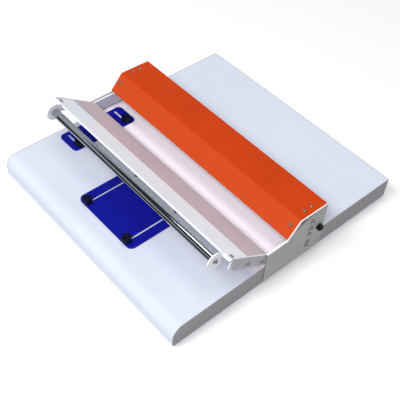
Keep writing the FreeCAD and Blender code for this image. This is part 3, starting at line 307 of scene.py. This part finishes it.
def makeFinish(name, look):
    material = bpy.data.materials.new(name)
    material.use_nodes = True
    tree = material.node_tree
    shader = tree.nodes["Principled BSDF"]
    shader.inputs["Metallic"].default_value = look.get("metal", 0.0)
    shader.inputs["Specular IOR Level"].default_value = look.get("specular", 0.5)
    shader.inputs["Coat Weight"].default_value = look.get("coat", 0.0)
    shader.inputs["Coat Roughness"].default_value = finishMaking["coatRoughness"]
    place = tree.nodes.new("ShaderNodeTexCoord")
    stretch = tree.nodes.new("ShaderNodeMapping")
    stretch.inputs["Scale"].default_value = [1 / s for s in look.get("stretch", (1, 1, 1))]
    tree.links.new(place.outputs["Object"], stretch.inputs["Vector"])

    def noise(kind, size):
        times, detail, rough = noiseKinds[kind]
        node = tree.nodes.new("ShaderNodeTexNoise")
        node.inputs["Scale"].default_value = 1 / (size * times * mm)
        node.inputs["Detail"].default_value = detail
        node.inputs["Roughness"].default_value = rough
        tree.links.new(stretch.outputs["Vector"], node.inputs["Vector"])
        return node.outputs["Fac"]

    def remap(source, low, high, span=finishMaking["noiseSpan"]):
        node = tree.nodes.new("ShaderNodeMapRange")
        start, end = span
        for key, value in (("From Min", start), ("From Max", end), ("To Min", low),
                           ("To Max", high)):
            node.inputs[key].default_value = value
        tree.links.new(source, node.inputs["Value"])
        return node.outputs["Result"]

    def calc(operation, *values):
        node = tree.nodes.new("ShaderNodeMath")
        node.operation = operation
        for socket, value in zip(node.inputs, values):
            if isinstance(value, (int, float)):
                socket.default_value = value
            else:
                tree.links.new(value, socket)
        return node.outputs[0]

    def blend(factor, first, second):
        node = tree.nodes.new("ShaderNodeMix")
        node.data_type = "RGBA"
        for socket, value in ((node.inputs[0], factor), (node.inputs[6], first),
                              (node.inputs[7], second)):
            if isinstance(value, (tuple, list)):
                socket.default_value = list(value) + [1]
            else:
                tree.links.new(value, socket)
        return node.outputs[2]

    # cloudy drift of the colour over the whole sheet
    colour, drift = look["colour"], look["drift"]
    tone = blend(remap(noise("drift", look["driftSize"]), 0.0, 1.0),
                 [c * (1 - drift) for c in colour], [min(1, c * (1 + drift)) for c in colour])
    fine = remap(noise("speckle", look["grainSize"]), 0.0, 1.0)
    tone = blend(calc("MULTIPLY", fine, finishMaking["speckle"]), tone,
                 [c * (1 - drift * finishMaking["speckleShade"]) for c in colour])
    spread = finishMaking["roughShare"]
    rough = remap(noise("gloss", look["grainSize"]), look["roughness"] * (1 - spread),
                  look["roughness"] * (1 + spread))
    # faint scuffs from handling: patches of finely streaked, duller surface
    if look.get("scuff"):
        patch = remap(noise("patch", look["scuffSize"]), 0.0, 1.0, finishMaking["patches"])
        streak = remap(noise("streak", look["grainSize"]), 0.0, 1.0, finishMaking["streaks"])
        scuffed = calc("MULTIPLY", patch, streak)
        rough = calc("ADD", rough, calc("MULTIPLY", scuffed, look["scuff"]))
        shade, lift = finishMaking["scuffShade"], finishMaking["scuffLift"]
        tone = blend(calc("MULTIPLY", scuffed, look["scuff"] * finishMaking["scuffShow"]), tone,
                     [min(1, c * shade + lift) for c in colour])
    # painted shade, with some dirt: darker round bolt heads, in sockets and in corners, where
    # other surfaces come near
    if look.get("cornerShadeAndDirt"):
        corner = tree.nodes.new("ShaderNodeAmbientOcclusion")
        corner.samples = finishMaking["cornerSamples"]
        corner.inputs["Distance"].default_value = finishMaking["cornerShadeReach"] * mm
        shadedCorner = remap(corner.outputs["AO"], 1.0, 0.0, finishMaking["corners"])
        tone = blend(calc("MULTIPLY", shadedCorner, look["cornerShadeAndDirt"]), tone,
                     [c * finishMaking["cornerShadeTone"] for c in colour])
    # painted light: a lane of the board between panel and cover painted paler and pinker, for
    # the light and the orange cover's reflection thrown there
    if look.get("bounceLane"):
        bounceLane = look["bounceLane"]
        spot = tree.nodes.new("ShaderNodeSeparateXYZ")
        tree.links.new(place.outputs["Object"], spot.inputs[0])
        entry, leaving = ((bounceLane["front"], bounceLane["front"] + bounceLane["soft"]),
                          (bounceLane["rear"], bounceLane["rear"] - bounceLane["soft"]))
        ramps = [remap(spot.outputs["Y"], 0.0, 1.0, (start * mm, end * mm))
                 for start, end in (entry, leaving)]
        tone = blend(calc("MULTIPLY", *ramps), tone, bounceLane["colour"])
    # wear along the edges, broken up by the grain
    if look.get("wear"):
        rounded = tree.nodes.new("ShaderNodeBevel")
        rounded.samples = finishMaking["edgeSamples"]
        rounded.inputs["Radius"].default_value = finishMaking["edgeReach"] * mm
        shape = tree.nodes.new("ShaderNodeNewGeometry")
        match = tree.nodes.new("ShaderNodeVectorMath")
        match.operation = "DOT_PRODUCT"
        tree.links.new(rounded.outputs["Normal"], match.inputs[0])
        tree.links.new(shape.outputs["Normal"], match.inputs[1])
        edge = remap(match.outputs["Value"], 1.0, 0.0, finishMaking["edges"])
        broken = remap(noise("broken", look["grainSize"]), finishMaking["leastBroken"], 1.0,
                       finishMaking["breaks"])
        rubbed = calc("MULTIPLY", calc("MULTIPLY", edge, broken), look["wear"])
        tone = blend(rubbed, tone, look["worn"])
        rough = calc("ADD", rough, calc("MULTIPLY", rubbed, finishMaking["rubbedRoughness"]))
    tree.links.new(tone, shader.inputs["Base Color"])
    tree.links.new(rough, shader.inputs["Roughness"])
    bump = tree.nodes.new("ShaderNodeBump")
    bump.inputs["Strength"].default_value = look["grain"]
    bump.inputs["Distance"].default_value = look["grainSize"] * mm
    tree.links.new(noise("grain", look["grainSize"]), bump.inputs["Height"])
    tree.links.new(bump.outputs["Normal"], shader.inputs["Normal"])
    return material


materials = {name: makeFinish(name, look) for name, look in finishes.items()}
otherFinishes = ("orangeLitSlope", "stripWhiteAndLitTops", "leverShadedSide", "plateLitRim", "yellowZinc")
# each slot's main finish; the others are second finishes within a slot
slotMaterials = {look["slot"]: materials[name] for name, look in finishes.items()
                 if name not in otherFinishes}


def paintNode(node):
    piece = frame["nodes"][node]
    piece.data.materials.clear()
    piece.data.materials.append(slotMaterials[nodeSlots[node]])


for node in frame["nodes"]:
    paintNode(node)
print("finishes made:", len(materials))


def standIn(piece, node):
    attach(piece, nodeBodies[node])
    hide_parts(node)


mergeReach = 0.002  # mm, corners nearer than this are one

# Sheet metal, board and bars: the construction's own shape with softened edges
softEdge = {"segments": 3, "corner": 32, "flat": 0.6}  # count, degrees, degrees
softening = {
    # node: width of the softened edge in mm
    "base_board": 0.7, "edge_band_left": 0.3, "edge_band_right": 0.3, "edge_band_rear": 0.3,
    "side_plate_left": 0.35, "side_plate_right": 0.35, "top_cover": 0.35,
    "lever_arm_left": 0.4, "lever_arm_right": 0.4, "lever_panel": 0.35, "grip_strip": 0.4,
    "handle_end_plate_left": 0.4, "handle_end_plate_right": 0.4,
    "stop_plate": 0.6, "side_guide": 0.6,
    "bearing_block_left": 0.6, "bearing_block_right": 0.6,
    "press_beam": 0.6, "blade_clamp": 0.6, "tie_rod": 0.4, "crease_matrix": 0.2,
    "rubber_feet": 0.6,
}

mainFinish = {
    # pieces whose main finish isn't the first one of their slot
    "grip_strip": "stripWhiteAndLitTops", "lever_arm_left": "leverShadedSide", "lever_arm_right": "leverShadedSide",
    "cover_screws": "yellowZinc",
}
litAndShadedFaces = {
    # node: painted lit copy for its upper edges or front, finish of its inward face; the other
    # faces keep the main finish, darker on arms and side plates as painted shade
    "side_plate_left": ("plateLitRim", "leverCoat"), "side_plate_right": ("plateLitRim", "leverCoat"),
    "lever_arm_left": ("stripWhiteAndLitTops", "leverCoat"), "lever_arm_right": ("stripWhiteAndLitTops", "leverCoat"),
    "handle_end_plate_left": ("stripWhiteAndLitTops",), "handle_end_plate_right": ("stripWhiteAndLitTops",),
    "lever_panel": ("stripWhiteAndLitTops",), "top_cover": ("orangeLitSlope",),
}
# from which part of its normal, 0 to 1, a face counts as turned that way
faceTurn = {"front": 0.7, "slopeFront": 0.5, "slopeUp": 0.3, "side": 0.8, "up": 0.12}


def finishFor(node):
    return materials[mainFinish[node]] if node in mainFinish else slotMaterials[nodeSlots[node]]


def litAndShadedFace(node, normal):
    if node not in litAndShadedFaces:
        return 0
    if node == "lever_panel":  # painted light: its front edge, showing under the strip, gets the strip's lit white
        return int(-normal.y > faceTurn["front"])
    if node == "top_cover":  # painted light: its front slope gets the lighter orange
        return int(-normal.y > faceTurn["slopeFront"] and normal.z > faceTurn["slopeUp"])
    # painted light and shade: upper edges get the lit copy, inward faces the light paint, and
    # the other faces keep the darker main finish
    inward = normal.x if node.endswith("left") else -normal.x
    if inward > faceTurn["side"] and len(litAndShadedFaces[node]) > 1:
        return 2
    return int(abs(normal.x) < faceTurn["side"] and normal.z > faceTurn["up"])


def mergedCopy(node):
    form = bmesh.new()
    form.from_mesh(frame["nodes"][node].data)
    bmesh.ops.remove_doubles(form, verts=form.verts, dist=mergeReach * mm)
    bmesh.ops.dissolve_limit(form, angle_limit=math.radians(softEdge["flat"]),
                             verts=form.verts, edges=form.edges)
    return form


def dress(node, width=0.0):
    form = mergedCopy(node)
    mesh = bpy.data.meshes.new(node + "_dressed")
    form.to_mesh(mesh)
    form.free()
    piece = bpy.data.objects.new(node + "_dressed", mesh)
    bpy.context.scene.collection.objects.link(piece)
    mesh.materials.append(finishFor(node))
    for name in litAndShadedFaces.get(node, ()):
        mesh.materials.append(materials[name])
    for face in mesh.polygons:
        face.use_smooth = True
        face.material_index = litAndShadedFace(node, face.normal)
    mesh.set_sharp_from_angle(angle=math.radians(softEdge["corner"]))
    if width:
        soften = piece.modifiers.new("softEdges", "BEVEL")
        soften.width = width * mm
        soften.segments = softEdge["segments"]
        soften.limit_method = "ANGLE"
        soften.angle_limit = math.radians(softEdge["corner"])
        soften.harden_normals = True
        soften.use_clamp_overlap = True
    standIn(piece, node)
    return piece


for node, width in softening.items():
    dress(node, width)
print("dressed pieces:", len(softening))


# Return springs: a dressed copy of the construction's springs, with a mesh of its own
def dressSprings(node="return_springs"):
    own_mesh(dress(node))


dressSprings()
print("springs dressed")

# One turned shape makes every screw, bolt and knob: its profile runs from the tip of the
# shank, over an optional collar and the head, down into the key socket
turnedSizes = {
    # input: millimetres or plain numbers
    "Head Radius": 4.0, "Head Height": 2.5, "Shank Radius": 2.0, "Shank Length": 8.0,
    "Collar Radius": 2.0, "Collar Height": 0.0, "Socket Radius": 1.3, "Socket Depth": 1.2,
    "Rim Share": 0.35,     # height of the straight rim over the head's height
    "Squareness": 1.0,     # 1 round button head, 0.25 squarish cap head
    "Hex": 1.0,            # 1 six-sided socket, 0 round dish
    "Flutes": 0.0, "Flute Depth": 0.0,
}
plainInputs = ("Rim Share", "Squareness", "Hex", "Flutes")
domeSteps = (15, 30, 45, 60, 75, 90)  # degrees up the head's rounding
turnedCorner = 34  # degrees, from which an edge stays sharp
turnedCounts = {"Sides": 36, "Seed": 7}
seedSpan = 97
closeReach = 0.004  # mm, points of the turned shape nearer than this are one
turnedShares = {
    # of the radius that each follows
    "tipRadius": 0.82, "tipHeight": 0.22, "headChamfer": 0.05, "land": 1.30,
    "lipRadius": 1.10, "lipDepth": 0.10, "floorRadius": 0.92, "floorRise": 0.05,
    "drillCone": 0.25,
}
grooveSharpness = 1.3


def makeTurnedTree():
    tree = bpy.data.node_groups.new("turnedFastener", "GeometryNodeTree")
    tree.interface.new_socket("Geometry", in_out="OUTPUT", socket_type="NodeSocketGeometry")
    tree.interface.new_socket("Places", in_out="INPUT", socket_type="NodeSocketGeometry")
    for name, value in turnedSizes.items():
        socket = tree.interface.new_socket(name, in_out="INPUT",
                                           socket_type="NodeSocketFloat")
        socket.default_value = value
    for name, value in turnedCounts.items():
        socket = tree.interface.new_socket(name, in_out="INPUT", socket_type="NodeSocketInt")
        socket.default_value = value
    tree.interface.new_socket("Finish", in_out="INPUT", socket_type="NodeSocketMaterial")

    def add(kind, links=None, **settings):
        node = tree.nodes.new(kind)
        for key, value in settings.items():
            setattr(node, key, value)
        for key, source in (links or {}).items():
            tree.links.new(source, node.inputs[key])
        return node

    def calc(operation, *values):
        node = add("ShaderNodeMath", operation=operation)
        for socket, value in zip(node.inputs, values):
            if isinstance(value, (int, float)):
                socket.default_value = value
            else:
                tree.links.new(value, socket)
        return node.outputs[0]

    given = add("NodeGroupInput").outputs
    head, high = given["Head Radius"], given["Head Height"]
    shank, long = given["Shank Radius"], given["Shank Length"]
    collar, collarHigh = given["Collar Radius"], given["Collar Height"]
    key, keyDeep = given["Socket Radius"], given["Socket Depth"]
    under = calc("MULTIPLY", collarHigh, -1.0)
    tip = calc("MULTIPLY", long, -1.0)
    rim = calc("MULTIPLY", high, given["Rim Share"])
    chamfer = calc("MULTIPLY", head, turnedShares["headChamfer"])
    land = calc("MULTIPLY", key, turnedShares["land"])
    floor = calc("SUBTRACT", high, keyDeep)
    cone = calc("MULTIPLY", key, turnedShares["drillCone"])
    profile = [
        (0.0, tip), (calc("MULTIPLY", shank, turnedShares["tipRadius"]), tip),
        (shank, calc("ADD", tip, calc("MULTIPLY", shank, turnedShares["tipHeight"]))),
        (shank, under), (collar, under), (collar, 0.0),
        (calc("SUBTRACT", head, chamfer), 0.0), (head, chamfer), (head, rim),
    ]
    fluted = (len(profile) - 2, len(profile) + 2)
    for step in domeSteps:
        side = calc("POWER", max(0.0, math.cos(math.radians(step))), given["Squareness"])
        rise = calc("POWER", math.sin(math.radians(step)), given["Squareness"])
        profile.append((calc("ADD", land, calc("MULTIPLY", calc("SUBTRACT", head, land), side)),
                        calc("ADD", rim, calc("MULTIPLY", calc("SUBTRACT", high, rim), rise))))
    socketStart = len(profile)
    profile += [
        (calc("MULTIPLY", key, turnedShares["lipRadius"]), high),
        (key, calc("SUBTRACT", high, calc("MULTIPLY", key, turnedShares["lipDepth"]))),
        (key, calc("ADD", floor, calc("MULTIPLY", key, turnedShares["floorRise"]))),
        (calc("MULTIPLY", key, turnedShares["floorRadius"]), floor),
        (0.0, calc("SUBTRACT", floor, calc("MULTIPLY", cone, given["Hex"]))),
    ]

    grid = add("GeometryNodeMeshGrid",
               {"Vertices X": calc("ADD", given["Sides"], 1.0)})
    grid.inputs["Size X"].default_value = 1.0
    grid.inputs["Size Y"].default_value = len(profile) - 1.0
    grid.inputs["Vertices Y"].default_value = len(profile)
    spot = add("ShaderNodeSeparateXYZ", {0: add("GeometryNodeInputPosition").outputs[0]})
    row = calc("ROUND", calc("ADD", spot.outputs[1], (len(profile) - 1) / 2))
    angle = calc("MULTIPLY", calc("ADD", spot.outputs[0], 0.5), 2 * math.pi)

    def perRow(column):
        switch = add("GeometryNodeIndexSwitch", {"Index": row}, data_type="FLOAT")
        while len(switch.index_switch_items) < len(profile):
            switch.index_switch_items.new()
        for number, entry in enumerate(profile):
            if isinstance(entry[column], (int, float)):
                switch.inputs[number + 1].default_value = entry[column]
            else:
                tree.links.new(entry[column], switch.inputs[number + 1])
        return switch.outputs[0]

    def between(low, high):
        return calc("MULTIPLY", calc("GREATER_THAN", row, low - 0.5),
                    calc("LESS_THAN", row, high + 0.5))

    turn = calc("SUBTRACT", calc("FLOORED_MODULO", angle, math.pi / 3), math.pi / 6)
    corner = calc("SUBTRACT", calc("DIVIDE", 1.0, calc("COSINE", turn)), 1.0)
    sixSided = calc("MULTIPLY", calc("MULTIPLY", corner, given["Hex"]),
                    between(socketStart, len(profile)))
    wave = calc("COSINE", calc("MULTIPLY", angle, given["Flutes"]))
    groove = calc("POWER", calc("MULTIPLY", calc("ADD", wave, 1.0), 0.5),
                  grooveSharpness)
    cut = calc("MULTIPLY", calc("MULTIPLY", groove, given["Flute Depth"]), between(*fluted))
    radius = calc("SUBTRACT", calc("MULTIPLY", perRow(0), calc("ADD", 1.0, sixSided)), cut)
    place = add("ShaderNodeCombineXYZ", {"X": calc("MULTIPLY", radius, calc("COSINE", angle)),
                                         "Y": calc("MULTIPLY", radius, calc("SINE", angle)),
                                         "Z": perRow(1)})
    turned = add("GeometryNodeSetPosition", {"Geometry": grid.outputs["Mesh"],
                                             "Position": place.outputs[0]})
    closed = add("GeometryNodeMergeByDistance", {"Geometry": turned.outputs[0]})
    closed.inputs["Distance"].default_value = closeReach * mm
    smooth = add("GeometryNodeSetShadeSmooth", {0: closed.outputs[0]})

    way = add("GeometryNodeInputNamedAttribute", data_type="FLOAT_VECTOR")
    way.inputs["Name"].default_value = "way"
    aim = add("FunctionNodeAlignRotationToVector",
              {"Vector": next(s for s in way.outputs if s.enabled and s.name == "Attribute")},
              axis="Z")
    chance = add("FunctionNodeRandomValue", {"Seed": given["Seed"]}, data_type="FLOAT")
    next(s for s in chance.inputs if s.enabled and s.name == "Max").default_value = math.pi
    roll = add("FunctionNodeAxisAngleToRotation",
               {"Angle": next(s for s in chance.outputs if s.enabled)})
    roll.inputs["Axis"].default_value = (0, 0, 1)
    rolled = add("FunctionNodeRotateRotation",
                 {"Rotation": aim.outputs[0], "Rotate By": roll.outputs[0]},
                 rotation_space="LOCAL")
    placed = add("GeometryNodeInstanceOnPoints",
                 {"Points": given["Places"], "Instance": smooth.outputs[0],
                  "Rotation": rolled.outputs[0]})
    real = add("GeometryNodeRealizeInstances", {0: placed.outputs[0]})
    painted = add("GeometryNodeSetMaterial", {"Geometry": real.outputs[0],
                                              "Material": given["Finish"]})
    add("NodeGroupOutput", {0: painted.outputs[0]})
    return tree


turnedTree = makeTurnedTree()

buttonHead = {"Rim Share": 0.30, "Squareness": 1.0}
capHead = {"Rim Share": 0.50, "Squareness": 0.25}
knobHead = {"Rim Share": 0.72, "Squareness": 0.7, "Hex": 0.0, "Flutes": 16, "Sides": 160,
            "Head Radius": 9, "Head Height": 9, "Collar Radius": 6.5, "Collar Height": 3,
            "Shank Radius": 2, "Flute Depth": 1.0, "Socket Radius": 5.2, "Socket Depth": 0.7}
screwFields = ("Head Radius", "Head Height", "Shank Radius", "Socket Radius", "Socket Depth")
screwSizes = {
    # kind: the fields above, in mm
    "buttonM4": (3.8, 2.2, 2, 1.2, 1.3),
    "buttonM5": (4.75, 2.75, 2.5, 1.5, 1.5),
    "buttonM6": (5.25, 3.3, 3, 1.9, 2.0),
    "capM5": (4.75, 5, 2.5, 2.0, 2.6),
    "capM8": (6.5, 7.5, 4, 3.0, 3.8),
}
turnedKinds = {
    "side_bolts": "buttonM5", "pivot_bolts": "capM8", "cover_screws": "buttonM4",
    "panel_screws": "buttonM5", "strip_screws": "buttonM4", "handle_bolts": "buttonM6",
    "clamp_screws": "capM5", "stop_knob_left": "knob", "stop_knob_right": "knob",
    "guide_knob_front": "knob", "guide_knob_rear": "knob",
}


def sizesOf(kind):
    if kind == "knob":
        return knobHead
    style = buttonHead if kind.startswith("button") else capHead
    return {**style, **dict(zip(screwFields, screwSizes[kind]))}


# The construction's own solids say where each one sits: one list of corners and one of
# (normal, middle) of the faces for every separate solid of the node
def solidsOf(node):
    form = bmesh.new()
    form.from_mesh(frame["nodes"][node].data)
    bmesh.ops.remove_doubles(form, verts=form.verts, dist=mergeReach * mm)
    form.verts.index_update()
    form.faces.index_update()
    solids, done = [], set()
    for start in form.faces:
        if start.index in done:
            continue
        done.add(start.index)
        waiting, faces = [start], []
        while waiting:
            face = waiting.pop()
            faces.append(face)
            for edge in face.edges:
                for other in edge.link_faces:
                    if other.index not in done:
                        done.add(other.index)
                        waiting.append(other)
        corners = {vert.index: vert.co.copy() for face in faces for vert in face.verts}
        solids.append((list(corners.values()),
                       [(face.normal.copy(), face.calc_center_median()) for face in faces]))
    form.free()
    return solids


def seatOf(solid, inner, outer):
    # the flat end that lies furthest out gives the axis, and the wide end is the head
    corners, faces = solid
    middle = sum(corners, Vector()) / len(corners)
    way = max(faces, key=lambda face: face[0].dot(face[1] - middle))[0].normalized()
    across = way.orthogonal().normalized()
    centre = Vector()
    for side in (across, way.cross(across)):
        reach = [corner.dot(side) for corner in corners]
        centre += side * (min(reach) + max(reach)) / 2
    wide = [corner.dot(way) for corner in corners
            if (corner - centre - way * corner.dot(way)).length > (inner + outer) / 2 * mm]
    if sum(wide) / len(wide) < middle.dot(way):
        way = -way
        wide = [-height for height in wide]
    seat = min(wide)
    tip = min(corner.dot(way) for corner in corners)
    return centre + way * seat, way, seat - tip


def makeTurned(node, sizes):
    inner = sizes.get("Collar Radius", sizes["Shank Radius"])
    spots = [seatOf(solid, inner, sizes["Head Radius"]) for solid in solidsOf(node)]
    # the left side first, and on each side from left, front and top to right, rear and bottom
    spots.sort(key=lambda spot: (spot[0].x > 0, spot[0].x + spot[0].y - spot[0].z))
    points = bpy.data.meshes.new(node + "_places")
    points.from_pydata([list(seat) for seat, way, long in spots], [], [])
    ways = points.attributes.new("way", "FLOAT_VECTOR", "POINT")
    for number, (seat, way, long) in enumerate(spots):
        ways.data[number].vector = way
    piece = bpy.data.objects.new(node + "_turned", points)
    bpy.context.scene.collection.objects.link(piece)
    modifier = piece.modifiers.new("turned", "NODES")
    modifier.node_group = turnedTree
    values = {**turnedSizes, **turnedCounts, "Collar Radius": inner, **sizes,
              "Shank Length": spots[0][2] / mm,
              "Seed": sum(ord(letter) for letter in node) % seedSpan}
    for socket in turnedTree.interface.items_tree:
        if socket.in_out != "INPUT" or socket.name == "Places":
            continue
        if socket.name == "Finish":
            modifier[socket.identifier] = finishFor(node)
        elif socket.name in turnedCounts:
            modifier[socket.identifier] = values[socket.name]
        elif socket.name in plainInputs:
            modifier[socket.identifier] = float(values[socket.name])
        else:
            modifier[socket.identifier] = values[socket.name] * mm
    bpy.context.view_layer.update()
    seen = piece.evaluated_get(bpy.context.evaluated_depsgraph_get())
    mesh = bpy.data.meshes.new_from_object(seen)
    mesh.name = node + "_turned"
    piece.modifiers.clear()
    piece.data = mesh
    mesh.set_sharp_from_angle(angle=math.radians(turnedCorner))
    standIn(piece, node)


for node, kind in turnedKinds.items():
    makeTurned(node, sizesOf(kind))
print("turned sets:", len(turnedKinds))

# Grip bar: a turned chrome bar with chamfered ends, as long and thick as the construction's
gripBar = {"chamfer": 0.9, "cornerShare": 0.3, "sides": 96, "corner": 60}
# in order: mm, of the chamfer, count, degrees from which an edge stays sharp


def makeGripBar(node="handle_bar"):
    low, high = (Vector(corner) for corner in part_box(node))
    middle = (low + high) / 2
    half, radius = (high.x - low.x) / 2, (high.y - low.y) / 2
    cut = gripBar["chamfer"] * mm
    nick = cut * gripBar["cornerShare"]
    profile = [(-half, radius - cut), (-half + nick, radius - nick), (-half + cut, radius),
               (0.0, radius), (half - cut, radius), (half - nick, radius - nick),
               (half, radius - cut)]
    form = bmesh.new()
    rings = []
    for x, reach in profile:
        ring = []
        for side in range(gripBar["sides"]):
            angle = 2 * math.pi * side / gripBar["sides"]
            ring.append(form.verts.new((x, middle.y + reach * math.cos(angle),
                                        middle.z + reach * math.sin(angle))))
        rings.append(ring)
    for first, second in zip(rings, rings[1:]):
        for side in range(gripBar["sides"]):
            after = (side + 1) % gripBar["sides"]
            form.faces.new((first[side], first[after], second[after], second[side]))
    form.faces.new(list(reversed(rings[0])))
    form.faces.new(rings[-1])
    bmesh.ops.recalc_face_normals(form, faces=form.faces)
    mesh = bpy.data.meshes.new("grip_bar_turned")
    form.to_mesh(mesh)
    form.free()
    mesh.materials.append(slotMaterials["chrome"])
    for face in mesh.polygons:
        face.use_smooth = True
    mesh.set_sharp_from_angle(angle=math.radians(gripBar["corner"]))
    piece = bpy.data.objects.new("grip_bar_turned", mesh)
    bpy.context.scene.collection.objects.link(piece)
    standIn(piece, node)


makeGripBar()
print("grip bar made")
